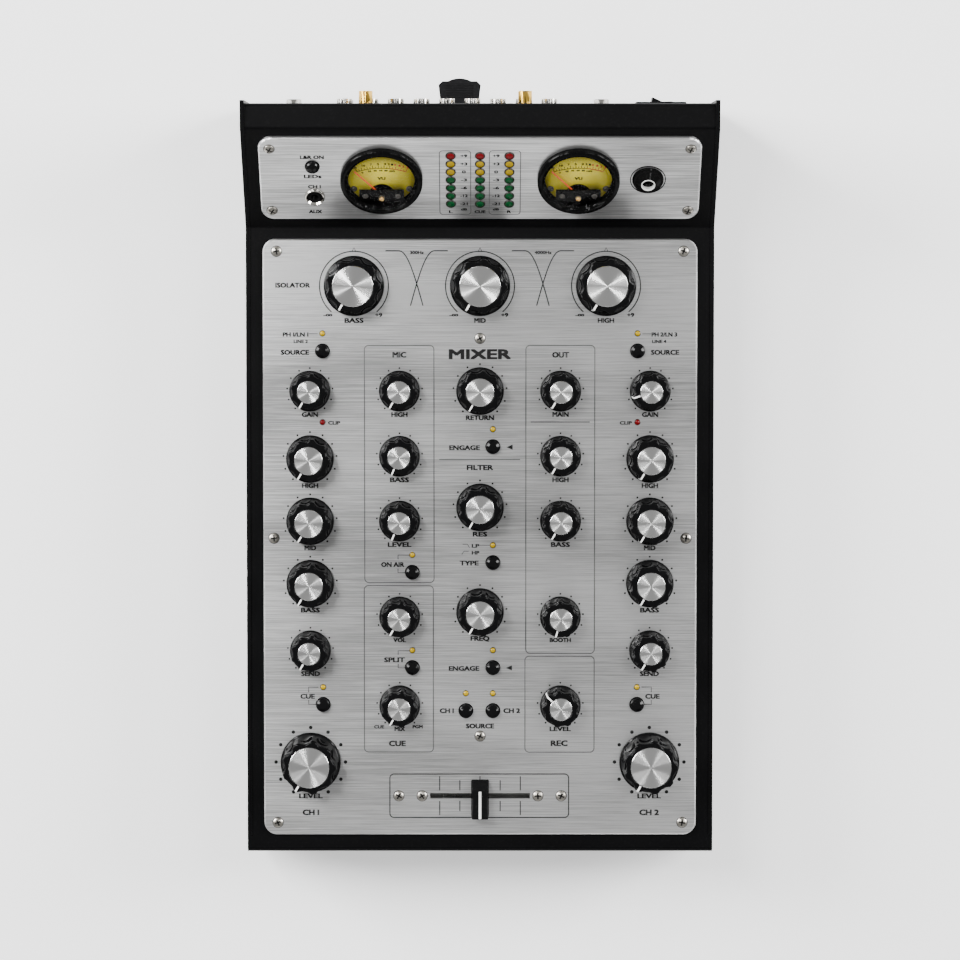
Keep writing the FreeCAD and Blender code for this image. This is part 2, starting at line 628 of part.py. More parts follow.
def make_button(name, high):
    """A domed button with a retaining flange and a stem that reaches into its switch."""
    button = body(name)
    profile = sketch(button, "XZ_Plane", name + "_profile")
    outline(
        profile,
        ("0", "-stem_low"), ("stem_radius", "-stem_low"), ("stem_radius", "-flange_drop - flange_high"),
        ("flange_radius", "-flange_drop - flange_high"), ("flange_radius", "-flange_drop"),
        ("button_radius", "-flange_drop"), ("button_radius", f"{high} - button_dome"),
        ("button_radius * 0.86", f"{high} - button_dome * 0.5"),
        ("button_radius * 0.55", f"{high} - button_dome * 0.13"), ("0", high),
    )
    turned(button, profile)
    return button


def make_buttons():
    button = make_button("push_button", "button_high")
    for name, x, row in BUTTONS:
        node(name, at(group(name + "_group", [button]), x, deck(row), PLATE_TOP))
    low_button = make_button("low_button", "low_button_high")
    meter_button = at(group("meter_button_solid", [low_button]), "-leds_button_column", "leds_button_height",
                      "plate_thick")
    node("button_meter_leds", on_slope(group("meter_button", [meter_button])))


# --- crossfader --------------------------------------------------------------------------------------------------


def make_crossfader():
    """The waisted cap on its lever, with the slider block that runs inside the frame."""
    cap = body("fader_cap")
    profile = sketch(cap, "XZ_Plane", "fader_cap_profile")
    low, waist, top = "knob_gap", "knob_gap + fader_cap_high * 0.55", "knob_gap + fader_cap_high"
    slim = "fader_cap_half - fader_waist"
    outline(
        profile,
        ("-fader_cap_half", low), ("fader_cap_half", low), (f"{slim} + 0.5", "knob_gap + fader_cap_high * 0.3"),
        (slim, waist), (f"{slim} + 0.3", "knob_gap + fader_cap_high * 0.8"), ("fader_cap_half * 0.9", top),
        ("-fader_cap_half * 0.9", top), (f"-({slim} + 0.3)", "knob_gap + fader_cap_high * 0.8"),
        (f"-({slim})", waist), (f"-({slim} + 0.5)", "knob_gap + fader_cap_high * 0.3"),
    )
    solid = pad(cap, profile, "fader_cap_length", middle=True)
    ends = edges(solid, lambda p: near(abs(p.y), number("fader_cap_length") / 2))
    dressed(cap, "Fillet", solid, ends, "0.6")
    well = sketch(cap, "XY_Plane", "fader_cap_well", "knob_gap + 8")
    oblong(well, ("-lever_half - 0.02", "lever_half + 0.02"), ("-lever_thick - 0.02", "lever_thick + 0.02"))
    pocket(cap, well)
    lever = block("fader_lever", ("-lever_half", "lever_half"), ("-lever_thick", "lever_thick"), ("-7", "knob_gap + 7.9"))
    slider = block("fader_slider", ("-4", "4"), ("-5", "5"), ("-12.8", "-7"))
    node("crossfader_cap", at(group("fader_group", [cap, lever, slider]), "0", deck("fader_row"), PLATE_TOP))


# --- meters and indicators ---------------------------------------------------------------------------------------


def make_meters():
    """Two moving-coil meters: housing with bezel, dial, coil dome, bridge and mask, then needles and lenses."""
    housing = body("meter_housing")
    profile = sketch(housing, "XZ_Plane", "meter_housing_profile")
    rim = "plate_thick + bezel_high"
    outline(
        profile,
        ("0", "-can_deep"), ("can_radius", "-can_deep"), ("can_radius", "plate_thick"), ("bezel_radius", "plate_thick"),
        ("bezel_radius", f"{rim} - 1.4"), ("bezel_radius - 0.5", f"{rim} - 0.4"), ("bezel_radius - 1.4", rim),
        ("bezel_inside + 0.4", rim), ("bezel_inside", f"{rim} - 0.4"), ("bezel_inside", "lens_height"),
        ("can_inside", "lens_height"), ("can_inside", "1 - can_deep"), ("0", "1 - can_deep"),
    )
    turned(housing, profile)
    dial = rod("meter_dial", "can_inside - 0.05", "dial_face - dial_thick", "dial_face")
    above = ("dial_face", "dial_face + mask_high")
    dome = rod("meter_dome", "dome_radius", above[0], "dial_face + dome_high", y="-dome_drop")
    hub_well = rod("meter_hub_well", "needle_hub + 0.4", "dial_face + 0.2", "dial_face + 2", y="-pivot_drop")
    dome = cut("meter_coil", dome, hub_well)
    mask = shared(
        "meter_mask", rod("meter_mask_disc", "can_inside - 0.05", *above),
        block("meter_mask_edge", ("-20", "20"), ("-20", "-mask_drop"), above),
    )
    bar = block("meter_bar", ("-bar_half", "bar_half"), ("-bar_low", "-bar_top"),
                ("bar_height", "bar_height + bar_thick"))
    leg = ("dial_face", "bar_height")
    legs = [
        rod(f"meter_leg_{i}", "1", *leg, x=x, y="-(bar_top + bar_low) / 2") for i, x in enumerate(("-10", "10"))
    ]
    works = [housing, dial, dome, mask, joined("meter_bridge", bar, *legs)]
    meters = [at(group("meter_" + side, works), x, "meter_height") for side, x in METERS]
    node("vu_meters", on_slope(group("meters", meters)))

    lens = rod("meter_lens", "bezel_inside - 0.05", "lens_height", "lens_height + lens_thick")
    lenses = [at(group("lens_" + side, [lens]), x, "meter_height") for side, x in METERS]
    node("vu_lenses", on_slope(group("lenses", lenses)))

    pointer = block("needle_blade", ("-needle_half", "needle_half"), ("0", "needle_length"),
                    ("needle_height", "needle_height + needle_thick"))
    hub = rod("needle_hub_solid", "needle_hub", "needle_height - 0.5", "needle_height + needle_thick + 0.3")
    needle = joined("needle", pointer, hub)
    for side, x in METERS:
        set_down = at(group("needle_at_rest_" + side, [needle]), x, "meter_height - pivot_drop", turn="needle_rest")
        node("vu_needle_" + side, on_slope(group("needle_" + side, [set_down])))


def lamp(name, radius, rim, deep):
    """A round indicator: rim under the plate, barrel and domed top. Its height is measured from the plate's top."""
    barrel = rod(name + "_barrel", radius, "-plate_thick - sheet - 1", "led_high * 0.3")
    crown = cone(name + "_crown", radius, f"{radius} * 0.45", "led_high * 0.3", "led_high")
    collar = rod(name + "_collar", rim, "-plate_thick - sheet - 2", "-plate_thick - sheet - 0.1")
    leads = [
        block(f"{name}_lead_{i}", (f"{x} - lead_half", f"{x} + lead_half"), ("-lead_half", "lead_half"),
              (deep, "-plate_thick - sheet - 1.5"))
        for i, x in enumerate(("-0.9", "0.9"))
    ]
    return joined(name, barrel, crown, collar, *leads)


def make_indicators():
    small = lamp("panel_led", "led_radius", "led_rim", f"board_top - {PLATE_TOP}")
    large = lamp("ladder_led_lamp", "ladder_led", "ladder_led + 0.4", "-14")
    deck_lamps = [at(group(f"led_{i}", [small]), x, deck(row), PLATE_TOP) for i, (x, row) in enumerate(LEDS)]
    ladder = [at(group(f"ladder_{i}", [large]), x, y, "plate_thick") for i, (x, y) in enumerate(LADDER)]
    deck_lamps.append(on_slope(group("ladder", ladder)))
    node("indicator_leds", group("leds", deck_lamps))


def make_fasteners():
    """Pan-head machine screws with a cross recess in the plates, the crossfader and the cheeks."""
    head = cone("screw_head", "screw_head_radius", "screw_head_radius * 0.62", "0", "screw_head_high")
    shank = rod("screw_shank", "screw_radius", "-screw_long", "0.1")
    slots = [
        block("screw_slot_x", ("-1.5", "1.5"), ("-0.3", "0.3"), ("screw_head_high - 1", "screw_head_high + 1")),
        block("screw_slot_y", ("-0.3", "0.3"), ("-1.5", "1.5"), ("screw_head_high - 1", "screw_head_high + 1")),
    ]
    screw = cut("screw", joined("screw_blank", head, shank), *slots)
    screws = [
        at(group(f"deck_screw_{i}", [screw]), x, deck(row), PLATE_TOP)
        for i, (x, row) in enumerate(PLATE_SCREWS + FADER_SCREWS)
    ]
    slope = [at(group(f"meter_screw_{i}", [screw]), x, y, "plate_thick") for i, (x, y) in enumerate(METER_SCREWS)]
    screws.append(on_slope(group("meter_screws", slope)))
    node("fasteners", group("screws", screws))


# --- sockets -----------------------------------------------------------------------------------------------------


def make_line_sockets():
    """Two rows of phono sockets on the rear panel, and the two ground terminals."""
    pieces = []
    for i, (x, z) in enumerate(RCAS):
        shell = rear_rod(f"rca_shell_{i}", "rca_radius", x, z, "rca_disc_thick", "rca_reach")
        contact = rear_rod(f"rca_contact_{i}", "rca_contact", x, z, "rca_disc_thick + 1", "rca_reach + 1")
        pieces.append(cut(f"rca_{i}", shell, contact))
        pieces.append(rear_rod(f"rca_disc_{i}", "rca_disc", x, z, "0", "rca_disc_thick"))
        pieces.append(rear_rod(f"rca_rear_{i}", "rca_radius", x, z, "-rca_body_long", "0"))
    for i, (x, z) in enumerate(GROUNDS):
        post = rear_rod(f"ground_post_{i}", "ground_post", x, z, "-6", "0")
        nut = rear_rod(f"ground_nut_{i}", "ground_radius", x, z, "0", "ground_reach")
        pieces.append(joined(f"ground_{i}", post, nut))
    node("line_sockets", group("line_socket_group", pieces))


def make_jack_sockets():
    """The two jack outputs and the microphone socket at the rear, and the two jacks on the meter slope."""
    pieces = []
    for i, (x, z) in enumerate(OUTPUTS):
        nut = rear_rod(f"output_nut_{i}", "output_nut", x, z, "0", "output_nut_high")
        thread = rear_rod(f"output_thread_{i}", "output_barrel", x, z, "-sheet", "output_reach")
        rear = rear_rod(f"output_rear_{i}", "output_body", x, z, "-output_long", "-sheet - 0.05")
        bore = rear_rod(f"output_bore_{i}", "phones_bore", x, z, "1 - output_long", "output_reach + 1")
        pieces.append(cut(f"output_{i}", joined(f"output_solid_{i}", nut, thread, rear), bore))
    spot = ("-mic_column", "mic_height")
    mic = joined(
        "mic_solid", rear_rod("mic_flange_disc", "mic_flange", *spot, "0", "mic_flange_thick"),
        rear_rod("mic_barrel", "mic_radius", *spot, "-mic_long", "0"),
    )
    mouth = rear_rod("mic_mouth", "mic_bore", *spot, "-mic_deep", "mic_flange_thick + 1")
    pieces.append(cut("mic_socket", mic, mouth))

    slope_pieces = []
    for name, x in (("aux", "-aux_column"), ("phones", "phones_column")):
        y = f"{name}_height"
        nut = rod(f"{name}_nut_ring", f"{name}_nut", "plate_thick", "plate_thick + socket_nut_high", x, y)
        thread = rod(f"{name}_barrel", f"{name}_body", f"-{name}_deep", "plate_thick", x, y)
        bore = rod(f"{name}_bore_hole", f"{name}_bore", f"1.5 - {name}_deep", "plate_thick + 5", x, y)
        slope_pieces.append(cut(f"{name}_socket", joined(f"{name}_solid", nut, thread), bore))
    pieces.append(on_slope(group("slope_sockets", slope_pieces)))
    node("jack_sockets", group("jack_socket_group", pieces))


def make_release_tab():
    """The ribbed thumb tab that frees a plug from the microphone socket."""
    tab = body("release_tab")
    shape = sketch(tab, "XY_Plane", "release_tab_shape")
    root, tip = "mic_flange_thick + tab_gap", "tab_reach"
    outline(
        shape,
        ("-tab_root_half", root), ("tab_root_half", root), ("tab_half", f"{tip} - 3.6"),
        ("tab_half - 2", f"{tip} - 1.6"), ("6.3", f"{tip} - 1.6"), ("4.4", f"{tip} - 0.7"),
        ("2.3", f"{tip} - 0.15"), ("0", tip), ("-2.3", f"{tip} - 0.15"), ("-4.4", f"{tip} - 0.7"),
        ("-6.3", f"{tip} - 1.6"), ("-(tab_half - 2)", f"{tip} - 1.6"), ("-tab_half", f"{tip} - 3.6"),
    )
    pad(tab, shape, "tab_thick")
    ribs = sketch(tab, "XY_Plane", "release_tab_ribs", "tab_thick - 0.6")
    for i in range(6):
        y = f"{tip} - {4.2 + 1.3 * i:.1f}"
        oblong(ribs, ("-(tab_half - 4)", "tab_half - 4"), (y, f"{y} + 0.7"))
    pocket(tab, ribs, upward=True)
    node("microphone_release_tab", at(tab, "-mic_column", PANEL, "mic_height + mic_flange + tab_gap"))


def make_power():
    """The mains inlet module with its recess and three blades, and the rocker switch above it."""
    left, right = "power_column - power_half", "power_column + power_half"
    flange = block("power_flange", (left, right), (PANEL, f"{PANEL} + power_reach"),
                   ("power_height - power_half_high", "power_height + power_half_high"))
    rear = block("power_rear", ("power_column - power_body", "power_column + power_body"),
                 (f"{PANEL} - power_body_long", PANEL),
                 ("power_height - power_body_high", "power_height + power_body_high"))
    middle = "power_height - inlet_drop"
    face = f"{PANEL} + power_reach"
    mouth = block("power_mouth", ("power_column - inlet_half", "power_column + inlet_half"),
                  (f"{face} - inlet_deep", f"{face} + 1"), (f"{middle} - inlet_half_high", f"{middle} + inlet_half_high"))
    blades = [
        block(f"power_blade_{i}", (f"power_column + {x} - 1", f"power_column + {x} + 1"),
              (f"{face} - inlet_deep - 1", f"{face} - inlet_deep + inlet_pin"),
              (f"{middle} + {z} - 2", f"{middle} + {z} + 2"))
        for i, (x, z) in enumerate(((-7, -2), (0, 2), (7, -2)))
    ]
    window = block("rocker_window_hole", ("power_column - rocker_window", "power_column + rocker_window"),
                   (f"{face} - 9", f"{face} + 1"),
                   ("power_height + rocker_rise - rocker_half_high - 0.5",
                    "power_height + rocker_rise + rocker_half_high + 0.5"))
    node("power_inlet", joined("power_module", cut("power_shell", joined("power_solid", flange, rear), mouth, window),
                               *blades))

    rocker = body("rocker")
    profile = sketch(rocker, "XY_Plane", "rocker_profile", "-rocker_half_high")
    outline(
        profile,
        ("-rocker_half", "rocker_pivot - 1.5"), ("0", "rocker_pivot - 5"), ("rocker_half", "rocker_pivot - 1.5"),
        ("rocker_half", "rocker_pivot + 1.6"), ("0", "rocker_pivot + 0.3"), ("-rocker_half", "rocker_pivot + 1.6"),
    )
    pad(rocker, profile, "2 * rocker_half_high")
    pin = rod("rocker_pivot_pin", "rocker_pin", "-rocker_half_high - 0.4", "rocker_half_high + 0.4")
    node("power_rocker", at(
        joined("rocker_on_pin", rocker, pin), "power_column", f"{face} - rocker_pivot",
        "power_height + rocker_rise", turn="-rocker_tilt",
    ))


# --- boards ------------------------------------------------------------------------------------------------------


def make_boards():
    """The main board with its push switches and standoffs, the meter board, the socket board and the supply."""
    lower = "board_top - board_thick"
    main = block("main_board", ("-board_half", "board_half"), (deck("board_front"), deck("board_rear")),
                 (lower, "board_top"))
    standoffs = [
        rod(f"standoff_{i}", "standoff_radius", "foot_height + sheet", lower, x, deck(row))
        for i, (x, row) in enumerate([(x, r) for x in ("-105", "105") for r in ("22", "172", "324")])
    ]
    base = f"board_top - {PLATE_TOP}"
    case = block("switch_case", ("-switch_side / 2", "switch_side / 2"), ("-switch_side / 2", "switch_side / 2"),
                 (base, "-switch_top"))
    switch = cut("switch", case, rod("switch_bore", "switch_well", "-well_low", "-switch_top + 1"))
    switches = [at(group(f"switch_{i}", [switch]), x, deck(row), PLATE_TOP) for i, (_, x, row) in enumerate(BUTTONS)]

    meter_board = block("meter_board", ("-30", "30"), ("6", "60"), ("-15.6", "-14"))
    button_board = block("button_board", ("-93.6", "-74"), ("10", "50"), ("-15.6", "-14"))
    meter_switch_case = block(
        "meter_switch_case", ("-leds_button_column - 4", "-leds_button_column + 4"),
        ("leds_button_height - 4", "leds_button_height + 4"), ("-14", "plate_thick - switch_top"),
    )
    meter_switch = cut("meter_switch", meter_switch_case, rod(
        "meter_switch_bore", "switch_well", "plate_thick - stem_low - 2.6", "plate_thick",
        "-leds_button_column", "leds_button_height",
    ))
    aux_pass = rod("aux_pass", "aux_body + 0.3", "-17", "-12", "-aux_column", "aux_height")
    slope_parts = on_slope(group("slope_boards", [meter_board, cut("button_board_cut", button_board, aux_pass),
                                                  meter_switch]))

    rear_board = block("socket_board", ("-84", "48"), (f"{PANEL} - rca_body_long - 1.7", f"{PANEL} - rca_body_long - 0.1"),
                       ("54", "88"))
    supply = block("supply_board", ("52", "118"), (deck("338"), deck("378")), ("13", "14.6"))
    supply_feet = [
        rod(f"supply_foot_{i}", "2.5", "foot_height + sheet", "13", x, deck(row))
        for i, (x, row) in enumerate([(x, r) for x in ("57", "113") for r in ("342", "374")])
    ]
    transformer = block("transformer", ("60", "92"), (deck("344"), deck("372")), ("14.6", "38"))
    capacitor = rod("capacitor", "6", "14.6", "36", "104", deck("358"))
    node("circuit_boards", group("boards", [main, *standoffs, *switches, slope_parts, rear_board, supply,
                                            *supply_feet, transformer, capacitor]))


# --- build and write ---------------------------------------------------------------------------------------------

make_top_cover()
make_base_pan()
make_side_cheeks()
make_feet()
make_faceplates()
make_knobs()
make_potentiometers()
make_buttons()
make_crossfader()
make_meters()
make_indicators()
make_fasteners()
make_line_sockets()
make_jack_sockets()
make_release_tab()
make_power()
make_boards()
doc.recompute()

for item in doc.Objects:
    if "Invalid" in item.State or "Error" in item.State:
        raise RuntimeError(f"{item.Name} failed: {item.State}")
for item in nodes:
    if item.Shape.isNull() or not item.Shape.isValid():
        raise RuntimeError(f"{item.Label} has no valid shape")

os.makedirs("parts", exist_ok=True)
for item in nodes:
    item.Shape.exportStep(f"parts/{item.Label}.step")
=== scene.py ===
import math
import bpy
from mathutils import Matrix, Vector


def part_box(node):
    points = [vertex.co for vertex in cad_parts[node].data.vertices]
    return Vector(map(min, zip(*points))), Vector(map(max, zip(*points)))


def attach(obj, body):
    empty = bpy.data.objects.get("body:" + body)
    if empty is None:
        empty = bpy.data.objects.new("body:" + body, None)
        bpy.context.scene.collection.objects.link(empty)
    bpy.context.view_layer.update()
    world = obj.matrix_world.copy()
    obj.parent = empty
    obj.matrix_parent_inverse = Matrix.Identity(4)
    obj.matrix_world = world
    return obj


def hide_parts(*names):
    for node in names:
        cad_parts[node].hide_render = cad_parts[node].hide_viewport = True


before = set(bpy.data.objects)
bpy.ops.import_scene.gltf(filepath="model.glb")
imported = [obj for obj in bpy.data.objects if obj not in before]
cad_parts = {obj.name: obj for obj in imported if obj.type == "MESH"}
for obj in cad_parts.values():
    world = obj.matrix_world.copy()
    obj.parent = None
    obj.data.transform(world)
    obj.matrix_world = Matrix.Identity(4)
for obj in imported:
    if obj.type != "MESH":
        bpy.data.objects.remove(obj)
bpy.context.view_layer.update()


# --- stage ----------------------------------------------------------------------------------------
# A pale seamless floor, which glows a little. Two long strips hang behind, a strong one on the left and a
# weak one on the right, for the bright wedges on the turned caps. A broad box fills in from each side, and
# a low wide one from the front.

FLOOR_SIDE = 9.0
FLOOR_COLOUR = (0.94, 0.942, 0.945, 1)
FLOOR_GLOW = 0.6
CASE_MIDDLE = (0, 0, 0.06)


def plain_material(name, colour, roughness, metallic=0.0, specular=0.5):
    """A material with the shader's own values, which later lines may add to."""
    material = bpy.data.materials.new(name)
    material.use_nodes = True
    shader = material.node_tree.nodes["Principled BSDF"]
    shader.inputs["Base Color"].default_value = colour
    shader.inputs["Roughness"].default_value = roughness
    shader.inputs["Metallic"].default_value = metallic
    shader.inputs["Specular IOR Level"].default_value = specular
    return material


def pick(*pieces):
    """Selects these pieces only, the last of them active."""
    bpy.ops.object.select_all(action="DESELECT")
    for piece in pieces:
        piece.select_set(True)
        bpy.context.view_layer.objects.active = piece


pick()
bpy.ops.mesh.primitive_plane_add(size=FLOOR_SIDE)
floor = bpy.context.object
floor.name = "floor"
floor_paint = plain_material("pale_floor", FLOOR_COLOUR, 0.8)
floor_shader = floor_paint.node_tree.nodes["Principled BSDF"]
floor_shader.inputs["Emission Color"].default_value = (1, 1, 1, 1)
floor_shader.inputs["Emission Strength"].default_value = FLOOR_GLOW
floor.data.materials.append(floor_paint)


def soft_box(name, place, aim, wide, high, watts):
    """A rectangular lamp at a place, turned to face a point."""
    bpy.ops.object.light_add(type="AREA", location=place)
    lamp = bpy.context.object
    lamp.name = name
    lamp.data.shape = "RECTANGLE"
    lamp.data.size = wide
    lamp.data.size_y = high
    lamp.data.energy = watts
    lamp.rotation_euler = (Vector(aim) - Vector(place)).to_track_quat("-Z", "Y").to_euler()


soft_box("left_strip", (-0.80, 0.75, 1.95), CASE_MIDDLE, 0.24, 1.0, 30)
soft_box("right_strip", (0.92, 0.53, 1.95), CASE_MIDDLE, 0.15, 0.8, 11)
soft_box("left_fill", (-2.2, 1.0, 1.25), CASE_MIDDLE, 1.3, 1.3, 150)
soft_box("right_fill", (2.2, 0.7, 1.25), CASE_MIDDLE, 1.1, 1.1, 100)
soft_box("front_fill", (0, -2.4, 0.40), (0, 0.15, 0.08), 2.4, 0.6, 7)

world = bpy.data.worlds.new("studio")
world.use_nodes = True
sky = world.node_tree.nodes["Background"]
sky.inputs["Color"].default_value = (1, 1, 1, 1)
sky.inputs["Strength"].default_value = 0.42
bpy.context.scene.world = world

bpy.ops.object.camera_add(location=(0, 0.1283, 2.06), rotation=(math.radians(-3.15), 0, 0))
camera = bpy.context.object
camera.data.lens = 138.3
camera.data.sensor_width = 36
camera.data.shift_y = -0.0486
bpy.context.scene.camera = camera


# --- case -----------------------------------------------------------------------------------------
# A folded steel cover over a folded steel pan, with a flat cheek down each side. All of it is coated in
# fine-textured black powder, baked on, which is satin, a little uneven, and dusty in places.

def effect(name, ins, outs):
    """A new node group with these sockets, and its input and output nodes."""
    tree = bpy.data.node_groups.new(name, "ShaderNodeTree")
    for kind, direction, sockets in (("in", "INPUT", ins), ("out", "OUTPUT", outs)):
        for socket, (form, value) in sockets.items():
            made = tree.interface.new_socket(name=socket, in_out=direction, socket_type="NodeSocket" + form)
            if value is not None:
                made.default_value = value
    return tree, tree.nodes.new("NodeGroupInput"), tree.nodes.new("NodeGroupOutput")


def pattern(tree, coordinates, scale, detail=3.0, stretch=(1, 1, 1), roughness=0.5):
    """A noise over stretched object coordinates, in cycles per metre."""
    mapping = tree.nodes.new("ShaderNodeMapping")
    mapping.inputs["Scale"].default_value = stretch
    tree.links.new(coordinates, mapping.inputs["Vector"])
    noise = tree.nodes.new("ShaderNodeTexNoise")
    noise.inputs["Scale"].default_value = scale
    noise.inputs["Detail"].default_value = detail
    noise.inputs["Roughness"].default_value = roughness
    tree.links.new(mapping.outputs["Vector"], noise.inputs["Vector"])
    return noise


def spread(tree, value, low, high, out_low=0.0, out_high=1.0):
    """A value's band between low and high, brought to another band."""
    band = tree.nodes.new("ShaderNodeMapRange")
    for socket, limit in (("From Min", low), ("From Max", high)):
        band.inputs[socket].default_value = limit
    for socket, limit in (("To Min", out_low), ("To Max", out_high)):
        if isinstance(limit, bpy.types.NodeSocket):
            tree.links.new(limit, band.inputs[socket])
        else:
            band.inputs[socket].default_value = limit
    tree.links.new(value, band.inputs["Value"])
    return band.outputs["Result"]


def blend_colours(tree, factor, first, second):
    """Two colours mixed by a factor."""
    mix = tree.nodes.new("ShaderNodeMix")
    mix.data_type = "RGBA"
    tree.links.new(factor, mix.inputs["Factor"])
    tree.links.new(first, mix.inputs[6])
    tree.links.new(second, mix.inputs[7])
    return mix.outputs[2]


# handled: a finish's slow variation from rubbing and a trace of dust, as a colour and a roughness
handled, entry, leave = effect(
    "handled",
    {"Clean": ("Color", (0, 0, 0, 1)), "Dusty": ("Color", (0.1, 0.1, 0.1, 1)), "Dust": ("Float", 0.2),
     "Smooth": ("Float", 0.3), "Rough": ("Float", 0.5)},
    {"Color": ("Color", None), "Roughness": ("Float", None)},
)
spot = handled.nodes.new("ShaderNodeTexCoord").outputs["Object"]
clouds = pattern(handled, spot, 22.0, 4.0)
specks = pattern(handled, spot, 900.0, 2.0)
rub = spread(handled, clouds.outputs["Fac"], 0.35, 0.68)
fleck = spread(handled, specks.outputs["Fac"], 0.56, 0.74)
amount = handled.nodes.new("ShaderNodeMath")
amount.operation = "MULTIPLY"
handled.links.new(fleck, amount.inputs[0])
handled.links.new(entry.outputs["Dust"], amount.inputs[1])
dusted = blend_colours(handled, amount.outputs[0], entry.outputs["Clean"], entry.outputs["Dusty"])
handled.links.new(dusted, leave.inputs["Color"])
handled.links.new(
    spread(handled, rub, 0, 1, entry.outputs["Smooth"], entry.outputs["Rough"]), leave.inputs["Roughness"]
)

# stipple: the fine bumps of powder coat and moulded plastic, as a height
stipple, entry, leave = effect("stipple", {"Fine": ("Float", 2600.0)}, {"Height": ("Float", None)})
spot = stipple.nodes.new("ShaderNodeTexCoord").outputs["Object"]
grains = pattern(stipple, spot, 2600.0, 2.0)
stipple.links.new(entry.outputs["Fine"], grains.inputs["Scale"])
stipple.links.new(grains.outputs["Fac"], leave.inputs["Height"])


def placed(material, tree, **values):
    """A group placed in a material with its own values."""
    node = material.node_tree.nodes.new("ShaderNodeGroup")
    node.node_tree = tree
    for socket, value in values.items():
        node.inputs[socket].default_value = value
    return node


def finish_of(
    name, clean, dusty, smooth, rough, metallic=0.0, dust=0.2, bump=0.0, fine=2600.0, specular=0.5, coat=0.0
):
    """A finish with handling marks and, where it has them, stippled bumps and a thin gloss over it."""
    material = plain_material(name, clean, rough, metallic, specular)
    tree = material.node_tree
    shader = tree.nodes["Principled BSDF"]
    shader.inputs["Coat Weight"].default_value = coat
    shader.inputs["Coat Roughness"].default_value = 0.08
    marks = placed(material, handled, Clean=clean, Dusty=dusty, Dust=dust, Smooth=smooth, Rough=rough)
    tree.links.new(marks.outputs["Color"], shader.inputs["Base Color"])
    tree.links.new(marks.outputs["Roughness"], shader.inputs["Roughness"])
    if bump:
        relief = tree.nodes.new("ShaderNodeBump")
        relief.inputs["Strength"].default_value = bump
        relief.inputs["Distance"].default_value = 0.00008
        tree.links.new(placed(material, stipple, Fine=fine).outputs["Height"], relief.inputs["Height"])
        tree.links.new(relief.outputs["Normal"], shader.inputs["Normal"])
    return material


powder_black = finish_of(
    "powder_black", (0.002, 0.002, 0.0022, 1), (0.010, 0.010, 0.0105, 1), 0.38, 0.48, dust=0.25, bump=0.35,
    specular=0.05,
)


def recoat(node, material):
    """Gives a CAD node's object one material."""
    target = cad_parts[node]
    target.data.materials.clear()
    target.data.materials.append(material)


for panel in ("top_cover", "base_pan", "side_cheeks"):
    recoat(panel, powder_black)


# --- main faceplate -------------------------------------------------------------------------------
# A 2 mm aluminium plate, brushed from side to side and anodised clear, screwed to the deck. Its legends and
# lines are screen-printed in black and dark grey, a few hundredths of a millimetre thick.

MM = 0.001
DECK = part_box("main_faceplate")[1][2]
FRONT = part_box("top_cover")[0][1]
PRINT_THICK = 0.03

# brushing: long fine streaks across a plate, as a tone and a height
brushing, entry, leave = effect(
    "brushing", {"Along": ("Float", 6.0)}, {"Tone": ("Float", None), "Height": ("Float", None)}
)
spot = brushing.nodes.new("ShaderNodeTexCoord").outputs["Object"]
hairs = pattern(brushing, spot, 1.0, 3.0, (11, 4600, 4600), 0.6)
bands = pattern(brushing, spot, 1.0, 4.0, (24, 1700, 1700), 0.72)
sweep = pattern(brushing, spot, 1.0, 3.0, (5.5, 17, 17))
tone = brushing.nodes.new("ShaderNodeMath")
tone.operation = "MULTIPLY_ADD"
brushing.links.new(bands.outputs["Fac"], tone.inputs[0])
tone.inputs[1].default_value = 0.5
half_sweep = brushing.nodes.new("ShaderNodeMath")
half_sweep.operation = "MULTIPLY"
brushing.links.new(sweep.outputs["Fac"], half_sweep.inputs[0])
half_sweep.inputs[1].default_value = 0.5
brushing.links.new(half_sweep.outputs[0], tone.inputs[2])
brushing.links.new(tone.outputs[0], leave.inputs["Tone"])
brushing.links.new(hairs.outputs["Fac"], leave.inputs["Height"])


def brushed_metal(name, dark, light, smooth, rough, grain):
    """Metal brushed from side to side: the glint of each hair spreads across the brushing."""
    material = plain_material(name, light, rough, 1.0)
    tree = material.node_tree
    shader = tree.nodes["Principled BSDF"]
    shader.inputs["Anisotropic"].default_value = 0.7
    across = tree.nodes.new("ShaderNodeCombineXYZ")
    across.inputs["Y"].default_value = 1.0
    tree.links.new(across.outputs["Vector"], shader.inputs["Tangent"])
    streaks = placed(material, brushing)
    shade = tree.nodes.new("ShaderNodeMix")
    shade.data_type = "RGBA"
    shade.inputs[6].default_value = dark
    shade.inputs[7].default_value = light
    tree.links.new(spread(tree, streaks.outputs["Tone"], 0.41, 0.59), shade.inputs["Factor"])
    tree.links.new(shade.outputs[2], shader.inputs["Base Color"])
    gloss = spread(tree, streaks.outputs["Tone"], 0.35, 0.65, rough, smooth)
    tree.links.new(gloss, shader.inputs["Roughness"])
    relief = tree.nodes.new("ShaderNodeBump")
    relief.inputs["Strength"].default_value = grain
    relief.inputs["Distance"].default_value = 0.00002
    tree.links.new(streaks.outputs["Height"], relief.inputs["Height"])
    tree.links.new(relief.outputs["Normal"], shader.inputs["Normal"])
    return material


brushed_plate = brushed_metal(
    "brushed_plate", (0.35, 0.35, 0.348, 1), (0.90, 0.90, 0.895, 1), 0.28, 0.44, 0.8
)
recoat("main_faceplate", brushed_plate)

print_black = plain_material("print_black", (0.004, 0.004, 0.004, 1), 0.6, specular=0.15)
print_grey = plain_material("print_grey", (0.07, 0.07, 0.07, 1), 0.6, specular=0.2)


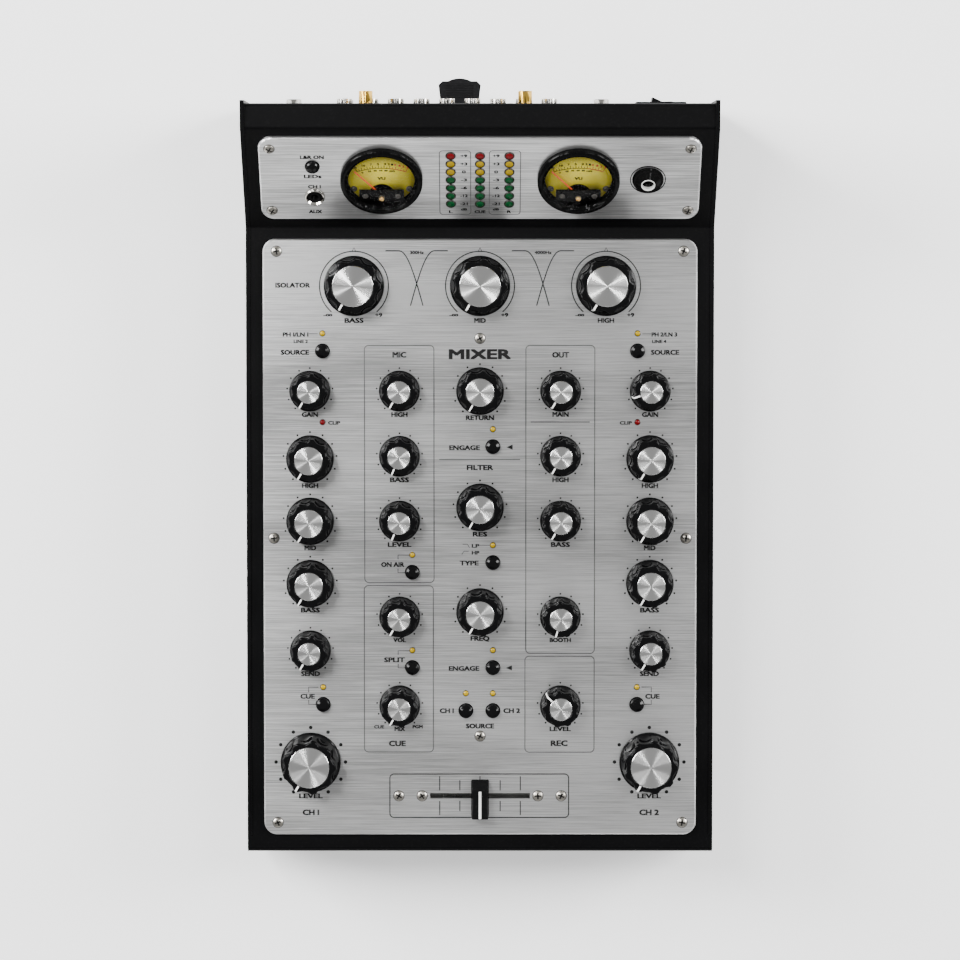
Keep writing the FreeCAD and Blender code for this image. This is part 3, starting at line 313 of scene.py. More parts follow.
def on_deck(x, row, lift=0.0):
    """A point over the faceplate, from millimetres across and millimetres back from the front edge."""
    return Vector((x * MM, FRONT + row * MM, DECK + lift * MM))


def set_down(piece, place, turn=None):
    """Moves a finished mesh to its place and makes that its own coordinates."""
    matrix = Matrix.Translation(place)
    if turn is not None:
        matrix = matrix @ turn.to_4x4()
    piece.data.transform(matrix)
    piece.data.update()


def word_width(words, high):
    """The width of words in the legends' wide face, in the unit of their height."""
    narrow = {"I": 0.40, "1": 0.42, " ": 0.5, "/": 0.55, "-": 0.6, "+": 0.8, ".": 0.3}
    return high * sum(narrow.get(letter, 0.98) for letter in words)


# The legends' face: the font's capitals are CAPITAL of its size, four copies side by side make the strokes
# bold, and the copies lie at slightly different heights, so that no two faces coincide.
CAPITAL = 0.73
BOLD_SIDE, BOLD_OVER = 0.085, 0.05
STAGGER = 0.04


def lettering(words, high, wide=None, thick=PRINT_THICK):
    """Printed words lying flat at the origin, in bold capitals of this height."""
    strokes = []
    for side, over in ((-1, -1), (1, -1), (-1, 1), (1, 1)):
        bpy.ops.object.text_add(location=(0, 0, 0))
        text = bpy.context.object
        text.data.body = words
        text.data.size = high * MM / CAPITAL
        text.data.align_x = "CENTER"
        text.data.resolution_u = 2
        text.data.extrude = thick * MM / 2
        bpy.ops.object.convert(target="MESH")
        stroke = bpy.context.object
        corners = [vertex.co.x for vertex in stroke.data.vertices]
        stretch = (wide or word_width(words, high)) * MM / (max(corners) - min(corners))
        step = STAGGER * (side + 2 * over) * thick
        shift = Matrix.Translation((side * high * BOLD_SIDE * MM, over * high * BOLD_OVER * MM, step * MM))
        centre = Matrix.Translation((-(max(corners) + min(corners)) / 2, -high * MM / 2, 0))
        stroke.data.transform(shift @ Matrix.Diagonal((stretch, 1, 1, 1)) @ centre)
        strokes.append(stroke)
    pick(*strokes)
    bpy.ops.object.join()
    return bpy.context.object


def ruled_line(points, wide, closed=False, thick=PRINT_THICK):
    """A printed line through points, given in millimetres at the origin, flat on its back."""
    curve = bpy.data.curves.new("line", "CURVE")
    curve.dimensions = "3D"
    spline = curve.splines.new("POLY")
    spline.points.add(len(points) - 1)
    for point, (x, y) in zip(spline.points, points):
        point.co = (x * MM, y * MM, 0, 1)
    spline.use_cyclic_u = closed
    curve.bevel_depth = wide * MM / 2
    curve.bevel_resolution = 0
    curve.use_fill_caps = True
    piece = bpy.data.objects.new("line", curve)
    bpy.context.collection.objects.link(piece)
    pick(piece)
    bpy.ops.object.convert(target="MESH")
    piece = bpy.context.object
    piece.data.transform(Matrix.Diagonal((1, 1, thick / wide, 1)))
    return piece


def arc(x, y, radius, start, stop, steps=6):
    """Points round an arc, with angles in degrees from +X."""
    turns = [math.radians(start + (stop - start) * i / steps) for i in range(steps + 1)]
    return [(x + radius * math.cos(a), y + radius * math.sin(a)) for a in turns]


def frame_points(left, right, low, high, radius):
    """The outline of a rectangle with rounded corners."""
    corners = ((right, high, 0), (left, high, 90), (left, low, 180), (right, low, 270))
    points = []
    for x, y, start in corners:
        inner_x = x - radius if x == right else x + radius
        inner_y = y - radius if y == high else y + radius
        points += arc(inner_x, inner_y, radius, start, start + 90)
    return points


def disc(radius, thick=PRINT_THICK, sides=16):
    """A printed dot at the origin."""
    bpy.ops.mesh.primitive_cylinder_add(vertices=sides, radius=radius * MM, depth=thick * MM)
    return bpy.context.object


def join_up(name, pieces, material, body, finish, *nodes, smooth=None):
    """Joins pieces into one, and gives it its name, material and body; the finish it is given is not used."""
    pick(*pieces)
    if len(pieces) > 1:
        bpy.ops.object.join()
    piece = bpy.context.object
    piece.name = name
    piece.data.name = name
    if material is not None:
        piece.data.materials.clear()
        piece.data.materials.append(material)
    if smooth is not None:
        bpy.ops.object.shade_smooth_by_angle(angle=math.radians(smooth))
    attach(piece, body)
    if nodes:
        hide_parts(*nodes)
    return piece


SMALL_TEXT = 1.9
LABEL_TEXT = 2.55
TITLE_TEXT = 3.0
SIDE_LEFT, SIDE_RIGHT = -43.75, 43.75
CHANNELS = (-92.35, 92.35)
ISOLATORS = (-68.3, 0, 68.3)

legends = []


def legend(words, x, row, high=LABEL_TEXT, wide=None):
    """One printed legend on the main faceplate."""
    piece = lettering(words, high, wide)
    set_down(piece, on_deck(x, row, PRINT_THICK / 2))
    legends.append(piece)


for x, words in zip(ISOLATORS, ("BASS", "MID", "HIGH")):
    legend(words, x, 290.6)
    legend("-∞", x - 14.2, 293.6, 2.1, 4.6)
    legend("+9", x + 13.4, 293.6, 2.1, 3.6)
legend("ISOLATOR", -101.5, 309.7)

# the channels' words, in which a numeral one is a plain stroke and so is set as a capital I
for x, number, deck_line, line in zip(CHANNELS, "I2", "I3", "24"):
    side = -1 if x < 0 else 1
    for row, words in ((239.5, "GAIN"), (200.8, "HIGH"), (166.9, "MID"), (132.9, "BASS"), (98.1, "SEND"),
                       (31, "LEVEL")):
        legend(words, x, row)
    legend("CH " + number, x, 22, TITLE_TEXT)
    legend(f"PH {number}/LN {deck_line}", side * 100, 283, 2.2, 13.6)
    legend("LINE " + line, side * 97.2, 279.2, 1.7, 7.5)
    legend("SOURCE", side * 100.4, 273.3)
    legend("CLIP", side * 79.2, 235, SMALL_TEXT)
    legend("CUE", side * 94, 85.7)
legend("MIC", SIDE_LEFT, 272, TITLE_TEXT)
legend("OUT", SIDE_RIGHT, 272, TITLE_TEXT)
legend("MIXER", 0, 272.4, 5.3, 33)
legend("MAIN", SIDE_RIGHT, 239.6)
legend("HIGH", SIDE_LEFT, 239.5)
for x in (SIDE_LEFT, SIDE_RIGHT):
    legend("BASS" if x < 0 else "HIGH", x, 204)
    legend("LEVEL" if x < 0 else "BASS", x, 168.7)
    legend("VOL" if x < 0 else "BOOTH", x, 116.5, 2.3)
    legend("MIX" if x < 0 else "LEVEL", x, 67.8, 2.3)
legend("ON AIR", -47.5, 157.8)
legend("SPLIT", -46.6, 105.7)
legend("CUE", -55, 69, 1.8)
legend("PGM", -34, 69, 1.8)
legend("CUE", -45.1, 59.9, TITLE_TEXT)
legend("REC", 43.2, 60, TITLE_TEXT)
legend("RETURN", 0, 237.8)
legend("ENGAGE", -8.4, 221.5, LABEL_TEXT, 16.3)
legend("FILTER", 0, 210.7, 2.7, 14)
legend("RES", 0, 174.4)
legend("LP", -2.4, 168, 2.0)
legend("HP", -2.4, 164.2, 2.0)
legend("TYPE", -5.9, 158.6)
legend("FREQ", 0, 117.4)
legend("ENGAGE", -8.7, 101, LABEL_TEXT, 16.3)
legend("CH I", -18.1, 77.8)
legend("CH 2", 17.3, 77.8)
legend("SOURCE", 0, 69.4)
legend("300Hz", -34.2, 327.4, 1.7, 7.4)
legend("4000Hz", 34.2, 327.4, 1.7, 9)


def arrow(x, row):
    """A printed triangle that points left, at the button beside it."""
    bpy.ops.mesh.primitive_cylinder_add(vertices=3, radius=MM, depth=PRINT_THICK * MM)
    piece = bpy.context.object
    piece.data.transform(Matrix.Diagonal((2.27, 1.62, 1, 1)) @ Matrix.Rotation(math.radians(90), 4, "Z"))
    set_down(piece, on_deck(x, row, PRINT_THICK / 2))
    legends.append(piece)


arrow(16.6, 221.7)
arrow(16.3, 101.2)


def dial_dots(x, row, away, half_angle, count, radius):
    """The dots round a control at a distance, stepped from one end of its travel to the other."""
    for i in range(count):
        angle = math.radians(90 + half_angle - 2 * half_angle * i / (count - 1))
        piece = disc(radius, sides=12)
        set_down(piece, on_deck(x + away * math.cos(angle), row + away * math.sin(angle), PRINT_THICK / 2))
        legends.append(piece)


KNOBS = sorted(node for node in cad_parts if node.startswith("knob_"))
MEDIUM_SKIRT, LARGE_SKIRT = 12.0, 15.0


def middle_of(node):
    """A deck control's column and row, and half its width, in millimetres."""
    low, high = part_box(node)
    x, y = (low[0] + high[0]) / 2, (low[1] + high[1]) / 2
    return x / MM, (y - FRONT) / MM, (high[0] - low[0]) / 2 / MM


for knob in KNOBS:
    x, row, half = middle_of(knob)
    if "isolator" in knob:
        scale = ruled_line(arc(0, 0, 18.7, -49, 229, 48), 0.6)
        set_down(scale, on_deck(x, row, PRINT_THICK / 2))
        tip = ruled_line([(-0.9, 18.9), (0, 20.6), (0.9, 18.9)], 0.5, True)
        set_down(tip, on_deck(x, row, PRINT_THICK / 2))
        legends += [scale, tip]
    elif half > LARGE_SKIRT:
        dial_dots(x, row, 18.95, 150, 11, 1.0)
    elif half > MEDIUM_SKIRT:
        dial_dots(x, row, 14.5, 140, 11, 0.55)
    else:
        dial_dots(x, row, 12.4, 140, 11, 0.5)

join_up("deck_legends", legends, print_black, "case", "brushed_aluminium")


# the boxes round the deck's sections, the rules that tie a lamp to its button, and the crossfader's scale
LINE = 0.55
THIN_LINE = 0.4
DARK_LINE = 0.6
rules, dark_rules = [], []


def rule(*points, wide=LINE, closed=False, dark=False):
    """One printed line on the main faceplate, through columns and rows, in grey or in black."""
    piece = ruled_line(points, wide, closed)
    set_down(piece, on_deck(0, 0, PRINT_THICK / 2))
    (dark_rules if dark else rules).append(piece)


for left, right, low, high in (
    (-62.7, -25.0, 147.9, 277), (-63, -25.4, 55.1, 146.2), (24.9, 62.3, 109.2, 277), (24.5, 62.2, 55, 107.6),
):
    rule(*frame_points(left, right, low, high, 2.2), closed=True)
rule((-22.2, 215), (21.8, 215))
rule((27.5, 235.4), (59.6, 235.4))

# brackets from a lamp, round its word, to the button below it, and short rules from a lamp to its word
for lamp, top, button in ((162.9, 160.6, 153.3), (110.6, 108.4, 101.2)):
    rule((-38.6, lamp), (-44.6, lamp), (-44.6, top))
    rule((-44.6, button + 2.2), (-44.6, button), (-40.8, button))
rule((-0.2, 168.3), (5.2, 168.3), wide=THIN_LINE)
for side in (-1, 1):
    rule((side * 92.8, 283.3), (side * 88, 283.3), wide=THIN_LINE)
    rule((side * 88, 90.7), (side * 93.4, 90.7), (side * 93.4, 87.9))
    rule((side * 93.4, 83.6), (side * 93.4, 81.2), (side * 89.6, 81.2))

# low-pass and high-pass signs, and the isolators' crossover curves
rule((-9.5, 168.8), (-6.9, 168.8), (-5.7, 167.0), wide=THIN_LINE)
rule((-9.9, 163.2), (-8.7, 165.0), (-6.1, 165.0), wide=THIN_LINE)
for x in (-34.3, 34.1):
    for side in (-1, 1):
        curve = [(x + side * 16.9, 328.3), (x + side * 9.5, 328.3)]
        curve += [
            (x + side * (9.5 - 12.9 * t / 10), 328.3 - 29.8 * (1 - math.cos(math.pi * t / 20)))
            for t in range(1, 11)
        ]
        rule(*curve, wide=DARK_LINE, dark=True)

# the crossfader's frame and scale: long strokes at its ends and middle, short ones between
rule(*frame_points(-49.2, 48.4, 19.1, 43, 2.2), wide=DARK_LINE, closed=True, dark=True)
for x, long in ((-22, 7.8), (-11, 5.6), (0, 7.8), (11, 5.6), (22, 7.8)):
    rule((x, 34), (x, 34 + long), dark=True)
    rule((x, 28.2), (x, 28.2 - long), dark=True)

join_up("deck_rules", rules, print_grey, "case", "brushed_aluminium")
join_up("deck_dark_rules", dark_rules, print_black, "case", "brushed_aluminium")


# --- meter faceplate ------------------------------------------------------------------------------
# A second brushed plate, screwed to the slope behind the deck, with the meters, the lamp ladder and two
# jacks. Its legends are printed like the main plate's.

recoat("meter_faceplate", brushed_plate)

SLOPE = math.radians(42)
PLATE_THICK = 2.0
FOLD = Vector((0, FRONT + 341 * MM, DECK - PLATE_THICK * MM))
SLOPE_TURN = Matrix.Rotation(SLOPE, 3, "X")


def on_slope(x, up, out=0.0):
    """A point on the slope, from millimetres across, up its face and out from the steel under the plate."""
    return FOLD + SLOPE_TURN @ Vector((x * MM, up * MM, out * MM))


slope_legends = []
slope_rules = []
PRINT_OUT = PLATE_THICK + PRINT_THICK / 2


def slope_legend(words, x, up, high=2.0, wide=None):
    """One printed legend on the meter faceplate."""
    piece = lettering(words, high, wide)
    set_down(piece, on_slope(x, up, PRINT_OUT), SLOPE_TURN)
    slope_legends.append(piece)


LADDER_COLUMN, LADDER_TOP, LADDER_PITCH = 15.65, 52.8, 5.66
AUXILIARY_JACK = (-88.7, 23.9)
HEADPHONE_JACK = (89.8, 36)
LADDER_SIGNS = ("+9", "+3", "0", "-3", "-6", "-12", "-21")
for step, words in enumerate(LADDER_SIGNS):
    for x in (-8.6, 8.6):
        slope_legend(words, x, LADDER_TOP - step * LADDER_PITCH, 1.9)
for x in (-8.6, 8.6):
    slope_legend("dB", x, 14.8, 1.6)
for x, words in ((-LADDER_COLUMN, "L"), (0, "CUE"), (LADDER_COLUMN, "R")):
    slope_legend(words, x, 13.1, 1.9)
slope_legend("L&R ON", -89.4, 51.8, 2.3)
slope_legend("LEDs", -89.4, 38.3, 2.3)
slope_legend("CH I", AUXILIARY_JACK[0], 31, 2.3)
slope_legend("AUX", AUXILIARY_JACK[0], 13.2, 2.3)
join_up("slope_legends", slope_legends, print_black, "case", "brushed_aluminium")

for side in (-1, 1):
    near, far = side * 5.0, side * 21.6
    outline = ruled_line(frame_points(min(near, far), max(near, far), 11.1, 56.3, 1.8), 0.45, True)
    set_down(outline, on_slope(0, 0, PRINT_OUT), SLOPE_TURN)
    slope_rules.append(outline)
join_up("slope_rules", slope_rules, print_grey, "case", "brushed_aluminium")


# --- boards and potentiometers --------------------------------------------------------------------
# Green boards on standoffs under the deck carry the switches, and plated potentiometers hang from the deck by
# their nuts, with the crossfader's frame among them. They show only through the gaps.

solder_green = finish_of("solder_green", (0.01, 0.07, 0.03, 1), (0.05, 0.1, 0.06, 1), 0.3, 0.5, dust=0.3)
recoat("circuit_boards", solder_green)
plated_steel = finish_of("plated_steel", (0.5, 0.5, 0.49, 1), (0.4, 0.39, 0.37, 1), 0.22, 0.38, 1.0, dust=0.4)
recoat("potentiometers", plated_steel)


# --- knobs ----------------------------------------------------------------------------------------
# Each is a gloss black moulding with a round skirt and nine thumb scallops, pushed on a 6 mm steel shaft. A
# turned aluminium disc is glued into its top, and a white line is inlaid from the disc down the body.

GLOSS_BLACK = (0.0022, 0.0022, 0.0024, 1)
FLUTES = 9

# where each pointer stands at rest, in degrees right of straight back
REST_ANGLES = {
    "knob_channel_2_gain": -108, "knob_microphone_bass": -157, "knob_microphone_level": -157,
    "knob_booth": -163, "knob_record_level": -47,
}
REST_ANGLE = -150

# the skirt's radius, the disc's radius and the moulding's height
KNOB_SIZES = {"small": (11.1, 6.1, 18.5), "medium": (12.95, 7.6, 20.5), "large": (16.35, 11.0, 23.0)}

gloss_black = finish_of(
    "gloss_black", GLOSS_BLACK, (0.02, 0.02, 0.02, 1), 0.16, 0.24, dust=0.08, specular=0.0, coat=0.22
)
pointer_white = finish_of("pointer_white", (0.82, 0.82, 0.80, 1), (0.6, 0.6, 0.58, 1), 0.35, 0.5, dust=0.3)


def lathe(name, profile, steps=96):
    """A closed turned shape from (radius, height) points in millimetres, given from its foot to its crown."""
    bpy.ops.mesh.primitive_cylinder_add(
        vertices=steps, radius=profile[0][0] * MM, depth=MM, end_fill_type="NGON"
    )
    piece = bpy.context.object
    piece.name = name
    for vertex in piece.data.vertices:
        vertex.co.z = profile[0][1] * MM if vertex.co.z < 0 else profile[1][1] * MM
        if vertex.co.z > profile[0][1] * MM:
            vertex.co.xy = vertex.co.xy * (profile[1][0] / profile[0][0])
    for (radius, height), (last, _) in zip(profile[2:], profile[1:]):
        bpy.ops.object.mode_set(mode="EDIT")
        bpy.ops.mesh.select_mode(type="FACE")
        bpy.ops.mesh.select_all(action="DESELECT")
        bpy.ops.object.mode_set(mode="OBJECT")
        crown = max(piece.data.polygons, key=lambda face: len(face.vertices) * 10 + face.normal.z)
        crown.select = True
        bpy.ops.object.mode_set(mode="EDIT")
        bpy.ops.mesh.extrude_region_move()
        bpy.ops.object.mode_set(mode="OBJECT")
        crown = next(face for face in piece.data.polygons if face.select)
        for index in crown.vertices:
            vertex = piece.data.vertices[index]
            vertex.co.xy = vertex.co.xy * (radius / last)
            vertex.co.z = height * MM
    return piece


def scallop(angle, depth):
    """How far a thumb scallop goes in at an angle from the pointer, in the same unit as its depth."""
    turn = (angle * FLUTES / (2 * math.pi)) % 1.0
    across = abs(turn - 0.5) / 0.375
    return depth * (1 - across * across) if across < 1 else 0.0


SKIRT_TOP = 3.7
CROWN_DROP, CROWN_RISE = 1.35, 1.2


def knob_profile(radius, cap, high):
    """The moulding's outline: gap, round skirt, shoulder, body and rounded crown down to the disc's seat."""
    body, crown = radius * 0.94, radius * 0.90
    points = [(radius - 0.9, 0.8), (radius - 0.3, 0.85), (radius, 1.2), (radius, 2.4), (radius - 0.25, 2.85),
              (radius - 0.7, 3.05), (body + 0.15, 3.25), (body, SKIRT_TOP)]
    body_high = high - CROWN_DROP - SKIRT_TOP
    points += [(body + (crown - body) * t, SKIRT_TOP + body_high * t) for t in (0.25, 0.5, 0.75, 1.0)]
    round_over = 0.9
    for i in range(1, 7):
        a = math.radians(15 * i)
        points.append((crown - round_over * (1 - math.cos(a)), high - CROWN_DROP + CROWN_RISE * math.sin(a)))
    points += [(cap + 0.9, high - 0.05), (cap + 0.35, high)]
    points += [(cap + 0.05, high - 0.2), (cap + 0.05, high - 0.8)]
    return points


def make_moulding(size):
    """One size of moulding, with its scallops pressed into the body above the skirt."""
    radius, cap, high = KNOB_SIZES[size]
    piece = lathe("moulding_" + size, knob_profile(radius, cap, high), 144)
    for vertex in piece.data.vertices:
        x, y, z = vertex.co
        out, up = math.hypot(x, y) / MM, z / MM
        if up < 3.6 or out < radius * 0.5:
            continue
        fade = min(1.0, (up - 3.6) / 1.2)
        fade *= min(1.0, max(0.0, (out - cap - 0.9) / (radius * 0.80 - cap - 0.9)))
        inward = scallop(math.atan2(x, y), radius * 0.10) * fade
        vertex.co.xy = vertex.co.xy * ((out - inward) / out)
    return piece


def make_cap(size):
    """One size of turned disc, with a chamfered rim and a map that runs out along its radius."""
    _, cap, high = KNOB_SIZES[size]
    foot, top = high - 0.8, high + 0.2
    rings = [(cap, foot), (cap, top - 0.3), (cap - 0.3, top)]
    rings += [(cap * t, top) for t in (0.75, 0.5, 0.25, 0.06)]
    piece = lathe("cap_" + size, rings, 72)
    turned_map = piece.data.uv_layers.new(name="turning")
    for face in piece.data.polygons:
        first = None
        for loop in face.loop_indices:
            x, y, _ = piece.data.vertices[piece.data.loops[loop].vertex_index].co
            around = math.atan2(y, x) / (2 * math.pi)
            first = around if first is None else first
            around += round(first - around)
            turned_map.data[loop].uv = (math.hypot(x, y) / (cap * MM), around)
    return piece


def make_pointer(size):
    """The white inlay: a strip about 1 mm wide that follows the moulding's crown and its body."""
    radius, cap, high = KNOB_SIZES[size]
    path = knob_profile(radius, cap, high)[7:-2]
    path[-1] = (cap + 0.3, high)
    bpy.ops.mesh.primitive_plane_add(size=1)
    piece = bpy.context.object
    half = 0.42 if size != "large" else 0.52
    out, up = path[0]
    for vertex in piece.data.vertices:
        rise = 0.0 if vertex.co.y < 0 else 0.2
        vertex.co = ((half if vertex.co.x > 0 else -half) * MM, (out + 0.06) * MM, (up + rise) * MM)
    for out, up in path[1:]:
        bpy.ops.object.mode_set(mode="EDIT")
        bpy.ops.mesh.select_mode(type="EDGE")
        bpy.ops.mesh.select_all(action="DESELECT")
        bpy.ops.object.mode_set(mode="OBJECT")
        across = {}
        for edge in piece.data.edges:
            start, end = (piece.data.vertices[index].co for index in edge.vertices)
            if abs(start.x - end.x) > MM / 2:
                across[edge.index] = (start + end) / 2
        last = max(across, key=lambda index: across[index].z - across[index].y)
        piece.data.edges[last].select = True
        bpy.ops.object.mode_set(mode="EDIT")
        bpy.ops.mesh.extrude_region_move()
        bpy.ops.object.mode_set(mode="OBJECT")
        for vertex in piece.data.vertices:
            if vertex.select:
                vertex.co.y = (out + 0.05) * MM
                vertex.co.z = (up + 0.06) * MM
    thicken = piece.modifiers.new("inlay", "SOLIDIFY")
    thicken.thickness = 0.25 * MM
    thicken.offset = 0
    pick(piece)
    bpy.ops.object.modifier_apply(modifier="inlay")
    return piece


# turned: the concentric tool marks of a faced disc, as a tone
turned, entry, leave = effect("turned", {"Pitch": ("Float", 9.0)}, {"Tone": ("Float", None)})
uv = turned.nodes.new("ShaderNodeUVMap")
uv.uv_map = "turning"
turning_marks = pattern(turned, uv.outputs["UV"], 9.0, 2.0, (9, 1.2, 1))
turned.links.new(entry.outputs["Pitch"], turning_marks.inputs["Scale"])
turned.links.new(turning_marks.outputs["Fac"], leave.inputs["Tone"])

turned_cap = plain_material("turned_cap", (0.68, 0.68, 0.67, 1), 0.3, 1.0)
tree = turned_cap.node_tree
shader = tree.nodes["Principled BSDF"]
shader.inputs["Anisotropic"].default_value = 1.0
radial = tree.nodes.new("ShaderNodeTangent")
radial.direction_type = "UV_MAP"
radial.uv_map = "turning"
tree.links.new(radial.outputs["Tangent"], shader.inputs["Tangent"])
tree.links.new(
    spread(tree, placed(turned_cap, turned).outputs["Tone"], 0.3, 0.7, 0.23, 0.27), shader.inputs["Roughness"]
)


def make_knob_pieces(size):
    """The patterns for one size of knob: moulding, disc, pointer and shaft."""
    shaft = lathe("shaft_" + size, [(2.7, -14), (3, -13.7), (3, 12.6), (2.7, 12.9)], 32)
    return {
        "moulding": make_moulding(size), "cap": make_cap(size), "pointer": make_pointer(size), "shaft": shaft,
    }


def copy_of(pattern_piece):
    """A copy of a piece with its own mesh."""
    piece = pattern_piece.copy()
    piece.data = pattern_piece.data.copy()
    bpy.context.collection.objects.link(piece)
    return piece


KNOB_LOOKS = {
    "moulding": (gloss_black, "knob_plastic", 30), "cap": (turned_cap, "brushed_aluminium", 25),
    "pointer": (pointer_white, "knob_plastic", 40), "shaft": (plated_steel, "pot_metal", 40),
}
patterns = {size: make_knob_pieces(size) for size in KNOB_SIZES}
for knob in KNOBS:
    x, row, half = middle_of(knob)
    size = "large" if half > LARGE_SKIRT else "medium" if half > MEDIUM_SKIRT else "small"
    turn = Matrix.Rotation(math.radians(-REST_ANGLES.get(knob, REST_ANGLE)), 3, "Z")
    for part, (material, finish, smooth) in KNOB_LOOKS.items():
        piece = copy_of(patterns[size][part])
        set_down(piece, on_deck(x, row), turn)
        stands_for = (knob,) if part == "moulding" else ()
        join_up(f"{knob}_{part}", [piece], material, knob, finish, *stands_for, smooth=smooth)
for kit in patterns.values():
    for piece in kit.values():
        bpy.data.objects.remove(piece)


# --- push buttons ---------------------------------------------------------------------------------
# Domed gloss black caps on sprung switches, each in its own hole with a flange under the deck that keeps
# it in.

button_black = finish_of(
    "button_black", GLOSS_BLACK, (0.02, 0.02, 0.02, 1), 0.12, 0.2, dust=0.08, specular=0.0, coat=0.32
)
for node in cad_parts:
    if node.startswith("button_"):
        recoat(node, button_black)
        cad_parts[node].data.shade_smooth()


# --- lamps ----------------------------------------------------------------------------------------
# Domed epoxy lamps: amber beside the buttons, red for clipping, and a ladder of three columns of seven
# between the meters, red over amber over green. Each sits in its hole, and a thin black ring round it is
# painted shade for the gap.

WELD = 0.002


def loose_parts(node):
    """A CAD node's solids as separate pieces, copied and with their edges merged."""
    whole = copy_of(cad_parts[node])
    pick(whole)
    bpy.ops.object.mode_set(mode="EDIT")
    bpy.ops.mesh.select_all(action="SELECT")
    bpy.ops.mesh.remove_doubles(threshold=WELD * MM)
    bpy.ops.mesh.separate(type="LOOSE")
    bpy.ops.object.mode_set(mode="OBJECT")
    return list(bpy.context.selected_objects)


def ring(name, outline_points, steps=56):
    """A closed ring turned from an outline of (radius, height) points in millimetres."""
    bpy.ops.mesh.primitive_circle_add(vertices=len(outline_points), radius=MM)
    piece = bpy.context.object
    piece.name = name
    for vertex, (radius, height) in zip(piece.data.vertices, outline_points):
        vertex.co = (radius * MM, 0, height * MM)
    bpy.ops.object.mode_set(mode="EDIT")
    bpy.ops.mesh.select_all(action="SELECT")
    bpy.ops.mesh.spin(steps=steps, angle=2 * math.pi, center=(0, 0, 0), axis=(0, 0, 1))
    bpy.ops.mesh.select_all(action="SELECT")
    bpy.ops.mesh.remove_doubles(threshold=0.001 * MM)
    bpy.ops.mesh.normals_make_consistent(inside=False)
    bpy.ops.object.mode_set(mode="OBJECT")
    return piece


def middle(piece):
    """The middle of a piece's box."""
    corners = [vertex.co for vertex in piece.data.vertices]
    return Vector([(min(c[i] for c in corners) + max(c[i] for c in corners)) / 2 for i in range(3)])


def reach(piece):
    """The size of a piece's box."""
    corners = [vertex.co for vertex in piece.data.vertices]
    return Vector([max(c[i] for c in corners) - min(c[i] for c in corners) for i in range(3)])


def epoxy(name, colour, glow):
    """Tinted clear epoxy, with a little light from within."""
    material = plain_material(name, colour, 0.16, specular=0.25)
    shader = material.node_tree.nodes["Principled BSDF"]
    shader.inputs["Emission Color"].default_value = colour
    shader.inputs["Emission Strength"].default_value = glow
    return material


LAMP_TINTS = {
    "amber": epoxy("epoxy_amber", (0.38, 0.25, 0.003, 1), 0.02),
    "red": epoxy("epoxy_red", (0.13, 0.002, 0.004, 1), 0.02),
    "orange": epoxy("epoxy_orange", (0.27, 0.18, 0.003, 1), 0.02),
    "green": epoxy("epoxy_green", (0.001, 0.048, 0.012, 1), 0.02),
}
lamp_groups = {tint: [] for tint in LAMP_TINTS}
clip_row_y = on_deck(0, 235.3).y
deck_end_y = on_deck(0, 340).y
for lamp in loose_parts("indicator_leds"):
    place = middle(lamp)
    if place.y > deck_end_y:
        up = (SLOPE_TURN.transposed() @ (place - FOLD)).y / MM
        step = round((LADDER_TOP - up) / LADDER_PITCH)
        tint = "red" if step == 0 else "orange" if step < 3 else "green"
    else:
        tint = "red" if abs(place.y - clip_row_y) < 3 * MM else "amber"
    lamp_groups[tint].append(lamp)
# the black rings that paint the shade in each lamp's hole, as (radius, height) outlines
DECK_HOLE_SHADE = [(1.15, 0.3), (1.5, 0), (1.75, 0), (1.75, 0.12), (1.45, 0.55)]
LADDER_HOLE_SHADE = [(1.95, 0.5), (2.4, 0), (2.8, 0), (2.8, 0.15), (2.4, 0.6)]
lamp_hole_shades = {"deck": [], "ladder": []}
for tint, lamps in lamp_groups.items():
    for lamp in lamps:
        place = middle(lamp)
        if place.y > deck_end_y:
            local = SLOPE_TURN.transposed() @ (place - FOLD) / MM
            rim = ring("rim", LADDER_HOLE_SHADE, 32)
            set_down(rim, on_slope(local.x, local.y, PLATE_THICK), SLOPE_TURN)
            lamp_hole_shades["ladder"].append(rim)
        else:
            rim = ring("rim", DECK_HOLE_SHADE, 32)
            set_down(rim, Vector((place.x, place.y, DECK)))
            lamp_hole_shades["deck"].append(rim)
    if lamps:
        join_up("lamps_" + tint, lamps, LAMP_TINTS[tint], "case", "led_epoxy", "indicator_leds", smooth=40)
# painted shade: the near-black of the gap round each lamp
hole_shade_black = plain_material("hole_shade_black", (0.006, 0.005, 0.003, 1), 0.3, specular=0.3)
for place, rims in lamp_hole_shades.items():
    join_up(f"lamp_hole_shades_{place}", rims, hole_shade_black, "case", "led_epoxy", smooth=40)


# --- screws ---------------------------------------------------------------------------------------
# Plated M3 pan heads with a cross recess hold both plates and the crossfader's frame. They stand on the
# plates, each turned its own way. Painted shade darkens the floor of each recess and a ring round each head.

screw_steel = finish_of("screw_steel", (0.40, 0.38, 0.34, 1), (0.2, 0.19, 0.17, 1), 0.26, 0.42, 1.0, dust=0.5)
# painted shade: the dark colour for the screws' recess floors and for the rings round their heads
recess_shade_black = plain_material("recess_shade_black", (0.015, 0.014, 0.013, 1), 0.5, specular=0.3)
HEAD_RADIUS, HEAD_HIGH = 2.75, 1.5
RECESS_TURN = 20


